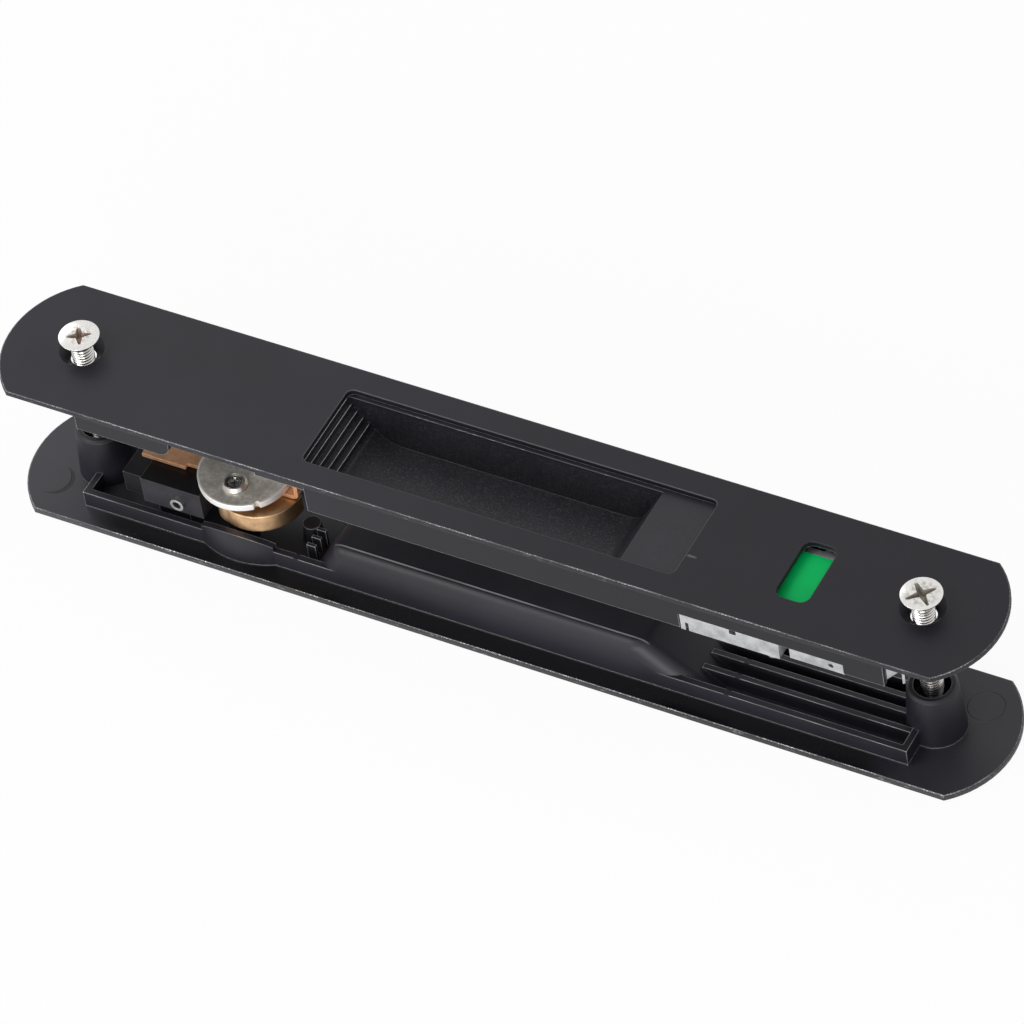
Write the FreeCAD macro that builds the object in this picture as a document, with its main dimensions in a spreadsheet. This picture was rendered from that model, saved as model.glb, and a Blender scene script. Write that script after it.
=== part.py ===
"""Sliding door hook lock: two black cover halves, a sliding finger cup and a swinging hook.

The lock lies on its rear cover, with its length along X and the jamb side towards -Y.
Z = 0 is the outer face of the rear cover and the front cover is on top. The two halves
stand apart by the thickness of the door stile that they clamp.
"""
import FreeCAD, Part
import Sketcher
import math
import os
import re

# Driving dimensions in millimetres and degrees

SIZES = {
    # Cover plates and the stile between them
    "plate_length": 240.0,
    "plate_width": 34.6,
    "end_radius": 22.0,
    "rear_plate": 1.7,
    "floor_lift": 0.3,
    "front_plate": 1.4,
    "stile_gap": 36.6,
    "edge_break": 0.3,
    "screw_spacing": 204.0,
    # Rear housing tray
    "tray_half": 12.4,
    "tray_end": 101.0,
    "tray_wall": 1.5,
    "tray_height": 4.2,
    "rib_thick": 1.3,
    "rib_inner": 1.9,
    "rib_outer": 6.4,
    "rib_height": 3.9,
    "rib_start": 50.0,
    "wall_stub": 3.0,
    # Outward bulge of the near wall under the hook
    "bulge_centre": -61.6,
    "bulge_length": 18.0,
    "bulge_depth": 2.1,
    "bulge_end_height": 5.5,
    "bulge_height": 8.7,
    # Rear finger cup
    "hump_left": -44.0,
    "hump_right": 55.4,
    "hump_left_run": 6.3,
    "hump_right_run": 16.9,
    "hump_height": 11.0,
    "hump_crown": 3.0,
    "hump_corner": 4.0,
    "hump_wall": 1.7,
    "rear_cup_corner": 3.0,
    "rear_cup_edge": 1.2,
    # Clamp screw bosses
    "boss_height": 13.4,
    "boss_top_radius": 5.6,
    "boss_foot_radius": 6.6,
    "boss_edge": 0.6,
    "boss_bore": 2.65,
    "boss_mouth": 4.1,
    "boss_mouth_depth": 4.0,
    # Front housing skirts
    "skirt_half": 12.9,
    "skirt_wall": 1.3,
    "skirt_end": 98.0,
    "skirt_left": 9.6,
    "skirt_middle": 13.1,
    "skirt_right": 11.6,
    "skirt_low": 8.9,
    "skirt_round": 3.0,
    "hook_gap_left": -74.4,
    "hook_gap_right": -40.6,
    "bridge_gap_left": 49.8,
    "bridge_gap_right": 88.5,
    # Windows in the front plate
    "window_left": -41.0,
    "window_right": 48.8,
    "window_half": 11.1,
    "window_round": 1.6,
    "sight_left": 71.0,
    "sight_width": 7.7,
    "sight_half": 8.2,
    "sight_round": 2.2,
    # Sliding finger cup
    "slide_travel": 10.5,
    "cup_drop": 0.2,
    "cup_left": -54.0,
    "cup_right": 58.0,
    "cup_wall": 1.2,
    "cup_flange": 1.4,
    "cup_skin": 0.3,
    "side_gap": 0.3,
    "step_count": 5.0,
    "step_run": 1.2,
    "step_drop": 1.7,
    "step_first": 0.8,
    "step_lip": 1.6,
    "step_wall": 1.7,
    "dish_right": 35.7,
    "dish_half": 10.2,
    "dish_depth": 11.7,
    "dish_lean": 6.9,
    "dish_sweep": 8.0,
    "dish_round": 5.0,
    "dish_wall": 1.2,
    # Guides under the finger cup
    "guide_gap": 0.3,
    "guide_plate": 2.0,
    "guide_left": -64.0,
    "guide_right": -42.0,
    "guide_half": 9.0,
    "guide_post": 3.0,
    "guide_post_x": -60.0,
    "guide_post_y": 5.8,
    "guide_slot_gap": 0.5,
    "bridge_end": 73.4,
    "bridge_height": 4.5,
    "bridge_rail": 3.0,
    "bridge_floor": 2.0,
    "notch_x": 12.0,
    "notch_width": 1.6,
    "notch_depth": 1.3,
    "slit_x": 1.4,
    "slit_width": 0.8,
    "slit_rise": 0.4,
    "pilaster_left": 69.2,
    "pilaster_width": 4.0,
    "pilaster_depth": 2.3,
    # Indicator carrier and labels
    "carrier_left": 50.5,
    "carrier_right": 87.4,
    "carrier_half": 8.8,
    "carrier_thick": 1.8,
    "leg_left": 74.6,
    "leg_gap": 0.9,
    "leg_wall": 1.5,
    "leg_depth": 13.2,
    "leg_hole": 0.6,
    "leg_hole_x": 3.1,
    "leg_hole_rise": 1.5,
    "label_width": 9.0,
    "label_thick": 0.4,
    "label_half": 8.6,
    "label_short": 1.7,
    # Hook pivot and hook
    "pivot_x": -62.9,
    "pivot_y": -7.3,
    "pivot_boss": 3.4,
    "pivot_boss_height": 9.1,
    "washer_thick": 0.3,
    "washer_radius": 3.2,
    "hook_thick": 4.5,
    "hub_radius": 4.6,
    "lobe_x": 3.5,
    "lobe_y": 4.7,
    "lobe_radius": 10.0,
    "claw_inner": 18.5,
    "claw_outer": 23.0,
    "claw_tip": 24.0,
    "claw_beak": 4.0,
    "throat_radius": 12.0,
    "throat_mouth": 20.0,
    "arm_low": 42.0,
    "arm_high": 55.0,
    "arm_root": 8.0,
    "claw_round": 0.8,
    "swing": 80.0,
    "crank_width": 3.2,
    "crank_pin": 1.5,
    # Cap disc over the hook
    "disc_radius": 10.7,
    "disc_thick": 1.6,
    "disc_offset_x": 0.0,
    "disc_offset_y": 4.7,
    "disc_notch": 0.7,
    "disc_notch_angle": -48.0,
    "collar_radius": 2.6,
    "collar_rise": 1.2,
    "collar_lip": 0.35,
    "lip_flat": 0.25,
    "head_gap": 0.1,
    "pivot_shank": 1.45,
    "pivot_head": 2.05,
    "pivot_head_height": 1.2,
    "pivot_head_sink": 0.2,
    "pivot_screw_foot": 0.2,
    # Drive link from the cup to the hook
    "link_thick": 1.0,
    "link_width": 9.0,
    "link_centre": 0.3,
    "link_left": -88.0,
    "link_riser": -50.0,
    "link_bend": 0.8,
    "slot_round": 1.2,
    "tail_right": -77.0,
    "tail_extra": 1.1,
    "link_gap": 0.25,
    "pin_play": 0.5,
    # Guide block left of the hook
    "block_left": -85.5,
    "block_right": -70.5,
    "block_near": -11.0,
    "block_far": 10.0,
    "block_relief_x": -73.6,
    "block_relief_y": -5.8,
    "block_base": 6.6,
    "seat_inset": 2.0,
    "block_step": 5.5,
    "block_step_inset": 1.5,
    "block_step_drop": 1.5,
    "block_pin_x": -76.2,
    "block_pin_rise": 3.3,
    "block_pin_radius": 1.65,
    "block_pin_bore": 1.0,
    "block_pin_length": 8.0,
    "block_pin_stand": 1.2,
    "block_pin_end_gap": 0.3,
    "block_screw_y": 7.4,
    "block_screw_inset": 4.0,
    # Post and bars on the plate between the hook and the finger cup
    "post_x": -48.4,
    "post_y": -2.0,
    "post_foot": 2.7,
    "post_top": 2.0,
    "post_height": 5.0,
    "bar_left": -46.5,
    "bar_right": -44.3,
    "bar_thick": 0.8,
    "bar_pitch": 2.4,
    "bar_height": 5.0,
    # Fasteners
    "clamp_shank": 2.5,
    "clamp_head": 4.6,
    "clamp_head_height": 2.4,
    "clamp_head_edge": 0.3,
    "clamp_tip": 0.6,
    "recess_width": 1.1,
    "recess_depth": 1.4,
    "clamp_length": 35.0,
    "clamp_stand": 4.5,
    "countersink_top": 5.1,
    "countersink_hole": 2.9,
    "countersink_depth": 2.2,
    "countersink_pad": 6.2,
    "countersink_pad_depth": 1.3,
    "small_head": 1.8,
    "small_head_height": 1.0,
    "head_sink": 0.2,
    "fit": 0.05,
    "pivot_play": 0.08,
    # Stop spring at the right end
    "spring_thick": 0.4,
    "spring_height": 5.0,
    "spring_left": 90.5,
    "spring_reach": 3.0,
    "spring_width": 3.6,
    "spring_inset": 0.2,
    "spring_rise": 1.0,
}

doc = FreeCAD.newDocument("sliding_door_hook_lock")
sheet = doc.addObject("Spreadsheet::Sheet", "Sizes")
for row, (name, size) in enumerate(SIZES.items(), start=1):
    sheet.set(f"A{row}", name)
    sheet.set(f"B{row}", str(size))
    sheet.setAlias(f"B{row}", name)
doc.recompute()

SUBPARTS = []
CUTS = []


# Helpers: expressions

def bound(text):
    """Write every size name in an expression as a reference to its cell."""
    return re.sub(r"[a-z][a-z_]*", lambda m: f"Sizes.{m[0]}" if m[0] in SIZES else m[0], str(text))


def number(text):
    """Value of an expression in size names."""
    return float(sheet.evalExpression(bound(text)))


def place(feature, x="0", y="0", z="0", turn=None):
    """Bind a placement to expressions; turn is an axis and an angle."""
    if turn is not None:
        feature.Placement.Rotation = FreeCAD.Rotation(FreeCAD.Vector(*turn[0]), turn[1])
    feature.setExpression("Placement.Base.x", bound(x))
    feature.setExpression("Placement.Base.y", bound(y))
    feature.setExpression("Placement.Base.z", bound(z))


def new_body(label, x="0", y="0", z="0"):
    """Body of one sub-part, with its own label and placement."""
    body = doc.addObject("PartDesign::Body", label)
    body.Label = label
    place(body, x, y, z)
    SUBPARTS.append(body)
    return body


# Helpers: sketches

def new_sketch(body, name, plane="XY_Plane", lift="0"):
    """Sketch on one of the body's own origin planes, moved along its normal."""
    sketch = body.newObject("Sketcher::SketchObject", name)
    support = next(item for item in body.Origin.OriginFeatures if item.Role == plane)
    sketch.AttachmentSupport = [(support, "")]
    sketch.MapMode = "FlatFace"
    sketch.setExpression("AttachmentOffset.Base.z", bound(lift))
    return sketch


def pin_point(sketch, curve, point, x, y):
    """Fix a point of a curve at two bound coordinates."""
    for kind, size in (("DistanceX", x), ("DistanceY", y)):
        index = sketch.addConstraint(Sketcher.Constraint(kind, -1, 1, curve, point, number(size)))
        sketch.setExpression(f"Constraints[{index}]", bound(size))


def outline(sketch, corners):
    """Closed outline through bound corners.

    A corner is (x, y) for a straight edge to the next one, or (x, y, cx, cy, turn) for an arc
    about (cx, cy), with turn 1 for counterclockwise and -1 for clockwise.
    """
    first = sketch.GeometryCount
    ends = []
    for index, corner in enumerate(corners):
        following = corners[(index + 1) % len(corners)]
        start = FreeCAD.Vector(number(corner[0]), number(corner[1]), 0)
        stop = FreeCAD.Vector(number(following[0]), number(following[1]), 0)
        if len(corner) == 2:
            sketch.addGeometry(Part.LineSegment(start, stop))
            ends.append((1, 2))
            continue
        centre = FreeCAD.Vector(number(corner[2]), number(corner[3]), 0)
        if corner[4] < 0:
            start, stop = stop, start
        begin = math.atan2(start.y - centre.y, start.x - centre.x)
        finish = math.atan2(stop.y - centre.y, stop.x - centre.x)
        circle = Part.Circle(centre, FreeCAD.Vector(0, 0, 1), start.distanceToPoint(centre))
        sketch.addGeometry(Part.ArcOfCircle(circle, begin, finish))
        ends.append((1, 2) if corner[4] > 0 else (2, 1))
    for index, corner in enumerate(corners):
        following = (index + 1) % len(corners)
        link = Sketcher.Constraint("Coincident", first + index, ends[index][1],
                                   first + following, ends[following][0])
        sketch.addConstraint(link)
        pin_point(sketch, first + index, ends[index][0], corner[0], corner[1])
        if len(corner) > 2:
            radius = f"sqrt(({corner[0]} - ({corner[2]}))^2 + ({corner[1]} - ({corner[3]}))^2)"
            bend = sketch.addConstraint(Sketcher.Constraint("Radius", first + index, number(radius)))
            sketch.setExpression(f"Constraints[{bend}]", bound(radius))


def rectangle(sketch, left, right, low, high):
    """Rectangle between four bound edges."""
    outline(sketch, [(left, low), (right, low), (right, high), (left, high)])


def round_rectangle(sketch, left, right, low, high, radius):
    """Rectangle with round corners."""
    inner_left = f"({left} + {radius})"
    inner_right = f"({right} - {radius})"
    inner_low = f"({low} + {radius})"
    inner_high = f"({high} - {radius})"
    outline(sketch, [
        (inner_left, low),
        (inner_right, low, inner_right, inner_low, 1),
        (right, inner_low),
        (right, inner_high, inner_right, inner_high, 1),
        (inner_right, high),
        (inner_left, high, inner_left, inner_high, 1),
        (left, inner_high),
        (left, inner_low, inner_left, inner_low, 1),
    ])


def circle(sketch, x, y, radius):
    """Circle with a bound centre and radius."""
    centre = FreeCAD.Vector(number(x), number(y), 0)
    index = sketch.addGeometry(Part.Circle(centre, FreeCAD.Vector(0, 0, 1), number(radius)))
    pin_point(sketch, index, 3, x, y)
    size = sketch.addConstraint(Sketcher.Constraint("Radius", index, number(radius)))
    sketch.setExpression(f"Constraints[{size}]", bound(radius))


def cover_outline(sketch):
    """Long plate with straight sides and bowed ends."""
    centre = "(plate_length / 2 - end_radius)"
    corner = f"({centre} + sqrt(end_radius^2 - plate_width^2 / 4))"
    side = "plate_width / 2"
    outline(sketch, [
        (f"-{corner}", f"-{side}"),
        (corner, f"-{side}", centre, "0", 1),
        (corner, side),
        (f"-{corner}", side, f"-{centre}", "0", 1),
    ])


# Helpers: features

def pad(body, sketch, length, name, against=False, middle=False):
    """Pad a sketch along its normal, against it, or half each way."""
    feature = body.newObject("PartDesign::Pad", name)
    feature.Profile = sketch
    feature.Reversed = against
    feature.Midplane = middle
    feature.setExpression("Length", bound(length))
    return feature


def pocket(body, sketch, length, name, upward=False, both_ways=False):
    """Pocket a sketch against its normal, along it, or both ways."""
    feature = body.newObject("PartDesign::Pocket", name)
    feature.Profile = sketch
    feature.Reversed = upward
    feature.Midplane = both_ways
    feature.setExpression("Length", bound(length))
    CUTS.append(feature)
    return feature


def cylinder(body, name, radius, height, x="0", y="0", z="0", cut=False, turn=None):
    """Added or cut cylinder with its foot at a bound point."""
    kind = "SubtractiveCylinder" if cut else "AdditiveCylinder"
    feature = body.newObject(f"PartDesign::{kind}", name)
    feature.setExpression("Radius", bound(radius))
    feature.setExpression("Height", bound(height))
    place(feature, x, y, z, turn)
    if cut:
        CUTS.append(feature)
    return feature


def cone(body, name, low_radius, high_radius, height, x="0", y="0", z="0", cut=False):
    """Added or cut cone with its foot at a bound point."""
    kind = "SubtractiveCone" if cut else "AdditiveCone"
    feature = body.newObject(f"PartDesign::{kind}", name)
    feature.setExpression("Radius1", bound(low_radius))
    feature.setExpression("Radius2", bound(high_radius))
    feature.setExpression("Height", bound(height))
    place(feature, x, y, z)
    if cut:
        CUTS.append(feature)
    return feature


def box(body, name, left, right, near, far, low, high, cut=False):
    """Added or cut box between six bound faces."""
    kind = "SubtractiveBox" if cut else "AdditiveBox"
    feature = body.newObject(f"PartDesign::{kind}", name)
    feature.setExpression("Length", bound(f"({right}) - ({left})"))
    feature.setExpression("Width", bound(f"({far}) - ({near})"))
    feature.setExpression("Height", bound(f"({high}) - ({low})"))
    place(feature, left, near, low)
    if cut:
        CUTS.append(feature)
    return feature


def round_edges(body, feature, radius, test, name):
    """Fillet the edges of a feature that pass a test."""
    doc.recompute()
    edges = [f"Edge{i}" for i, edge in enumerate(feature.Shape.Edges, start=1) if test(edge)]
    rounded = body.newObject("PartDesign::Fillet", name)
    rounded.Base = (feature, edges)
    rounded.setExpression("Radius", bound(radius))
    return rounded


def break_edges(body, feature, size, test, name):
    """Chamfer the edges of a feature that pass a test."""
    doc.recompute()
    edges = [f"Edge{i}" for i, edge in enumerate(feature.Shape.Edges, start=1) if test(edge)]
    broken = body.newObject("PartDesign::Chamfer", name)
    broken.Base = (feature, edges)
    broken.setExpression("Size", bound(size))
    return broken


def upright(edge):
    """True for a straight edge along Z."""
    box_size = edge.BoundBox
    return box_size.ZLength > 0.1 and box_size.XLength < 0.01 and box_size.YLength < 0.01


def side_corners(slopes, side, top):
    """Test for the slanted corner edges where end slopes meet the side faces."""
    reach = number(side)
    height = number(top)
    spans = [(number(low), number(high)) for low, high in slopes]

    def test(edge):
        size = edge.BoundBox
        flat = size.YLength < 0.01 and abs(abs(size.Center.y) - reach) < 0.01
        slanted = size.XLength > 0.5 and size.ZLength > 0.5 and abs(size.ZMax - height) < 0.01
        inside = any(size.XMin > low - 0.1 and size.XMax < high + 0.1 for low, high in spans)
        return flat and slanted and inside
    return test


def level_at(edge, height):
    """True for an edge that lies at one height."""
    return abs(edge.BoundBox.ZMin - height) < 0.01 and abs(edge.BoundBox.ZMax - height) < 0.01


def fastener_group(label, places, seat, below=True):
    """Round heads of small fasteners that share one node, below or above their seat."""
    members = []
    foot = f"({seat} - small_head_height)" if below else seat
    for index, (x, y) in enumerate(places, start=1):
        head = doc.addObject("Part::Cylinder", f"{label}_{index}")
        head.setExpression("Radius", bound("small_head"))
        head.setExpression("Height", bound("small_head_height"))
        place(head, x, y, foot)
        members.append(head)
    group = doc.addObject("Part::Compound", label)
    group.Label = label
    group.Links = members
    SUBPARTS.append(group)
    return group


# Levels and places shared by several sub-parts

FRONT_UNDER = "(rear_plate + stile_gap)"
FRONT_TOP = f"({FRONT_UNDER} + front_plate)"
CUP_TOP = f"({FRONT_UNDER} - cup_drop)"
CARRIER_TOP = f"({CUP_TOP} - cup_flange)"
BRIDGE_TOP = f"({FRONT_UNDER} - skirt_low)"
TRAY_INNER = "(tray_half - tray_wall)"
TRAY_FLOOR = "(rear_plate + floor_lift)"
SHIELD_AXIS = "(-tray_half - bulge_depth + (bulge_length^2 / 4 + bulge_depth^2) / (2 * bulge_depth))"
CUP_CREST = "(rear_plate + hump_height)"
CUP_CEILING = f"({CUP_CREST} - hump_wall)"
SKIRT_INNER = "(skirt_half - skirt_wall)"
CUP_HALF = f"({SKIRT_INNER} - side_gap)"
RUNNER_DEPTH = "(skirt_low - cup_drop - guide_gap)"
HOOK_LOW = "(rear_plate + pivot_boss_height + washer_thick + fit)"
LINK_LOW = f"({HOOK_LOW} + hook_thick + link_gap)"
DISC_LOW = f"({LINK_LOW} + link_thick + link_gap)"
DISC_TOP = f"({DISC_LOW} + disc_thick)"
REST_ANGLE = "(90 + swing / 2)"
CRANK = "(slide_travel / (2 * sin(swing / 2)))"
PIN_X = f"({CRANK} * cos({REST_ANGLE}))"
PIN_Y = f"({CRANK} * sin({REST_ANGLE}))"
FOOT_END = "(window_left - step_wall - link_gap)"
BRIDGE_SCREW_X = "(pilaster_left + pilaster_width / 2)"
BRIDGE_SCREW_Y = f"({SKIRT_INNER} - pilaster_depth / 2 + 0.6)"


# Rear housing: plate, tray walls, bulge, finger cup and bosses

def rear_cup_slopes():
    """Foot and head places of the two end slopes of the rear finger cup's hollow."""
    left_shift = "hump_wall * sqrt(1 + (hump_left_run / hump_height)^2)"
    right_shift = "hump_wall * sqrt(1 + (hump_right_run / hump_height)^2)"
    left_foot = f"(hump_left + {left_shift} - rear_plate * hump_left_run / hump_height)"
    right_foot = f"(hump_right - {right_shift} + rear_plate * hump_right_run / hump_height)"
    left_head = f"({left_foot} + {CUP_CEILING} * hump_left_run / hump_height)"
    right_head = f"({right_foot} - {CUP_CEILING} * hump_right_run / hump_height)"
    return left_foot, left_head, right_head, right_foot


def hollow_rear_cup(body):
    """Cut the finger cup's hollow, with rounded corners between its sides and end slopes."""
    left_foot, left_head, right_head, right_foot = rear_cup_slopes()
    sketch = new_sketch(body, "rear_cup_profile", "XZ_Plane")
    outline(sketch, [
        (left_foot, "0"), (right_foot, "0"), (right_head, CUP_CEILING), (left_head, CUP_CEILING),
    ])
    side = "(tray_half - hump_wall)"
    cup = pocket(body, sketch, f"{side} * 2", "rear_cup_hollow", both_ways=True)
    slopes = [(left_foot, left_head), (right_head, right_foot)]
    return round_edges(body, cup, "rear_cup_corner", side_corners(slopes, side, CUP_CEILING),
                       "rear_cup_corners")


def shield_outline(sketch, inner):
    """Plan of the shield in front of the hook: straight at the inner Y place, bowed outwards."""
    left = "(bulge_centre - bulge_length / 2)"
    right = "(bulge_centre + bulge_length / 2)"
    outline(sketch, [
        (left, inner), (left, "-tray_half", "bulge_centre", SHIELD_AXIS, 1),
        (right, "-tray_half"), (right, inner),
    ])


def make_rear_housing():
    """Rear plate with the tray's floor, the outside cup's mouth, the pivot post and the block's seat."""
    body = new_body("rear_housing")
    sketch = new_sketch(body, "rear_plate_outline")
    cover_outline(sketch)
    plate = pad(body, sketch, "rear_plate", "rear_plate_pad")
    break_edges(body, plate, "edge_break", lambda edge: not upright(edge), "rear_plate_rim")
    box(body, "tray_floor", "-tray_end", "tray_end", "-tray_half", "tray_half", "0", TRAY_FLOOR)
    for side in (-1, 1):
        cylinder(body, f"boss_foot_{side + 1}", "boss_foot_radius", TRAY_FLOOR, f"({side} * screw_spacing / 2)")
    sketch = new_sketch(body, "shield_foot_outline", lift="rear_plate / 2")
    shield_outline(sketch, f"-{TRAY_INNER}")
    pad(body, sketch, "floor_lift + rear_plate / 2", "shield_foot")
    box(body, "cup_blank", "hump_left", "hump_right", "-tray_half", "tray_half", "0", CUP_CREST)
    hollow_rear_cup(body)
    box(body, "cup_blank_cut", "hump_left - 1", "hump_right + 1", "-tray_half - 1", "tray_half + 1",
        TRAY_FLOOR, f"{CUP_CREST} + 1", cut=True)
    cylinder(body, "pivot_boss_post", "pivot_boss", "rear_plate + pivot_boss_height", "pivot_x", "pivot_y")
    cylinder(body, "pivot_thread", "pivot_shank + fit", "pivot_boss_height + 1", "pivot_x", "pivot_y",
             "rear_plate", cut=True)
    box(body, "block_seat", "block_left + seat_inset", "block_relief_x - seat_inset",
        "block_near + seat_inset", "block_far - seat_inset", "0", "rear_plate + block_base")
    cone(body, "inner_post", "post_foot", "post_top", "post_height + rear_plate / 2", "post_x", "post_y",
         "rear_plate / 2")
    for index in range(3):
        near = f"post_y - post_foot / 2 - bar_pitch * {index}"
        box(body, f"inner_bar_{index}", "bar_left", "bar_right", near, f"{near} + bar_thick",
            "rear_plate / 2", "rear_plate + bar_height")
    return body


def add_tray_ribs(body, near, far):
    """Four low ribs between the tray's side walls, from one X place to another."""
    places = [(side, size) for side in (-1, 1) for size in ("rib_inner", "rib_outer")]
    for index, (side, size) in enumerate(places):
        middle = f"({side} * {size})"
        box(body, f"tray_rib_{index}", near, far, f"{middle} - rib_thick / 2", f"{middle} + rib_thick / 2",
            TRAY_FLOOR, f"{TRAY_FLOOR} + rib_height")


def make_rear_cup():
    """Hollow back of the outside finger cup, with the lengths of tray wall beside it."""
    body = new_body("rear_cup")
    sketch = new_sketch(body, "hump_profile", "XZ_Plane")
    outline(sketch, [
        ("hump_left", TRAY_FLOOR), ("hump_right", TRAY_FLOOR), ("hump_right - hump_right_run", CUP_CREST),
        ("hump_left + hump_left_run", CUP_CREST),
    ])
    hump = pad(body, sketch, "tray_half * 2", "hump", middle=True)
    slopes = [("hump_left", "hump_left + hump_left_run"), ("hump_right - hump_right_run", "hump_right")]
    hump = round_edges(body, hump, "hump_corner", side_corners(slopes, "tray_half", CUP_CREST),
                       "hump_corners")
    round_edges(body, hump, "hump_crown", lambda edge: level_at(edge, number(CUP_CREST)), "hump_crown_round")
    for side in (-1, 1):
        near = "-tray_half" if side < 0 else TRAY_INNER
        far = f"-{TRAY_INNER}" if side < 0 else "tray_half"
        box(body, f"side_wall_{side + 1}", "hump_left - wall_stub", "hump_right + wall_stub", near, far,
            TRAY_FLOOR, f"{TRAY_FLOOR} + tray_height")
    add_tray_ribs(body, "rib_start", "hump_right + wall_stub")
    hollow = hollow_rear_cup(body)
    break_edges(body, hollow, "rear_cup_edge", lambda edge: level_at(edge, number(CUP_CEILING)),
                "rear_cup_floor_edge")
    return body


def make_tray_end(label, side):
    """One end of the tray: side walls, end wall and the clamp screw's boss, with ribs at the right end."""
    body = new_body(label)
    start = "(hump_left - wall_stub)" if side < 0 else "(hump_right + wall_stub)"
    outer = "(-tray_end)" if side < 0 else "tray_end"
    inner = "(tray_wall - tray_end)" if side < 0 else "(tray_end - tray_wall)"
    sketch = new_sketch(body, "tray_outline", lift=TRAY_FLOOR)
    outline(sketch, [
        (start, "-tray_half"), (outer, "-tray_half"), (outer, "tray_half"), (start, "tray_half"),
        (start, TRAY_INNER), (inner, TRAY_INNER), (inner, f"-{TRAY_INNER}"), (start, f"-{TRAY_INNER}"),
    ])
    pad(body, sketch, "tray_height", "tray_walls")
    if side > 0:
        add_tray_ribs(body, start, "tray_end - tray_wall / 2")
    x = f"({side} * screw_spacing / 2)"
    boss = cone(body, "boss", "boss_foot_radius", "boss_top_radius", "boss_height", x, "0", TRAY_FLOOR)
    rim = number(f"{TRAY_FLOOR} + boss_height")
    middle = number(x)
    break_edges(body, boss, "boss_edge", lambda edge: level_at(edge, rim)
                and abs(edge.BoundBox.Center.x - middle) < 0.1, "boss_rim")
    cylinder(body, "boss_bore", "boss_bore", "boss_height + 2", x, "0", f"{TRAY_FLOOR} - 1", cut=True)
    cylinder(body, "boss_mouth", "boss_mouth", "boss_mouth_depth + 1", x, "0",
             f"{TRAY_FLOOR} + boss_height - boss_mouth_depth", cut=True)
    return body


def make_tray_left():
    """Left end of the tray, with the arched shield in front of the hook."""
    body = make_tray_end("tray_left", -1)
    half = "bulge_length / 2"
    sketch = new_sketch(body, "bulge_outline", lift=TRAY_FLOOR)
    shield_outline(sketch, f"-{TRAY_INNER}")
    pad(body, sketch, "bulge_height", "bulge_pad")
    sketch = new_sketch(body, "bulge_inside", lift=TRAY_FLOOR)
    outline(sketch, [
        (f"bulge_centre - {half}", f"-{TRAY_INNER}", "bulge_centre", f"{SHIELD_AXIS} + tray_wall", 1),
        (f"bulge_centre + {half}", f"-{TRAY_INNER}"),
    ])
    pocket(body, sketch, "bulge_height * 2", "bulge_inside_cut", upward=True)
    fall = "(bulge_height - bulge_end_height)"
    round_z = f"((bulge_length^2 / 4 + {fall}^2) / (2 * {fall}))"
    top = f"({TRAY_FLOOR} + bulge_height)"
    foot = f"({TRAY_FLOOR} + bulge_end_height)"
    sketch = new_sketch(body, "bulge_arch", "XZ_Plane", "tray_half + bulge_depth + tray_wall")
    outline(sketch, [
        (f"bulge_centre - {half}", f"{top} + tray_wall"),
        (f"bulge_centre - {half}", foot, "bulge_centre", f"{top} - {round_z}", -1),
        (f"bulge_centre + {half}", foot), (f"bulge_centre + {half}", f"{top} + tray_wall"),
    ])
    pocket(body, sketch, "bulge_depth + tray_wall * 3", "bulge_arch_cut")
    return body


def make_tray_right():
    """Right end of the tray, with the low ribs."""
    return make_tray_end("tray_right", 1)


def block_screw_places():
    """X places of the two guide block screws."""
    return ["(block_left + block_screw_inset)", "(block_relief_x - block_screw_inset)"]


# Front housing: plate with two windows, skirts, guide posts and countersinks

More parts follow.
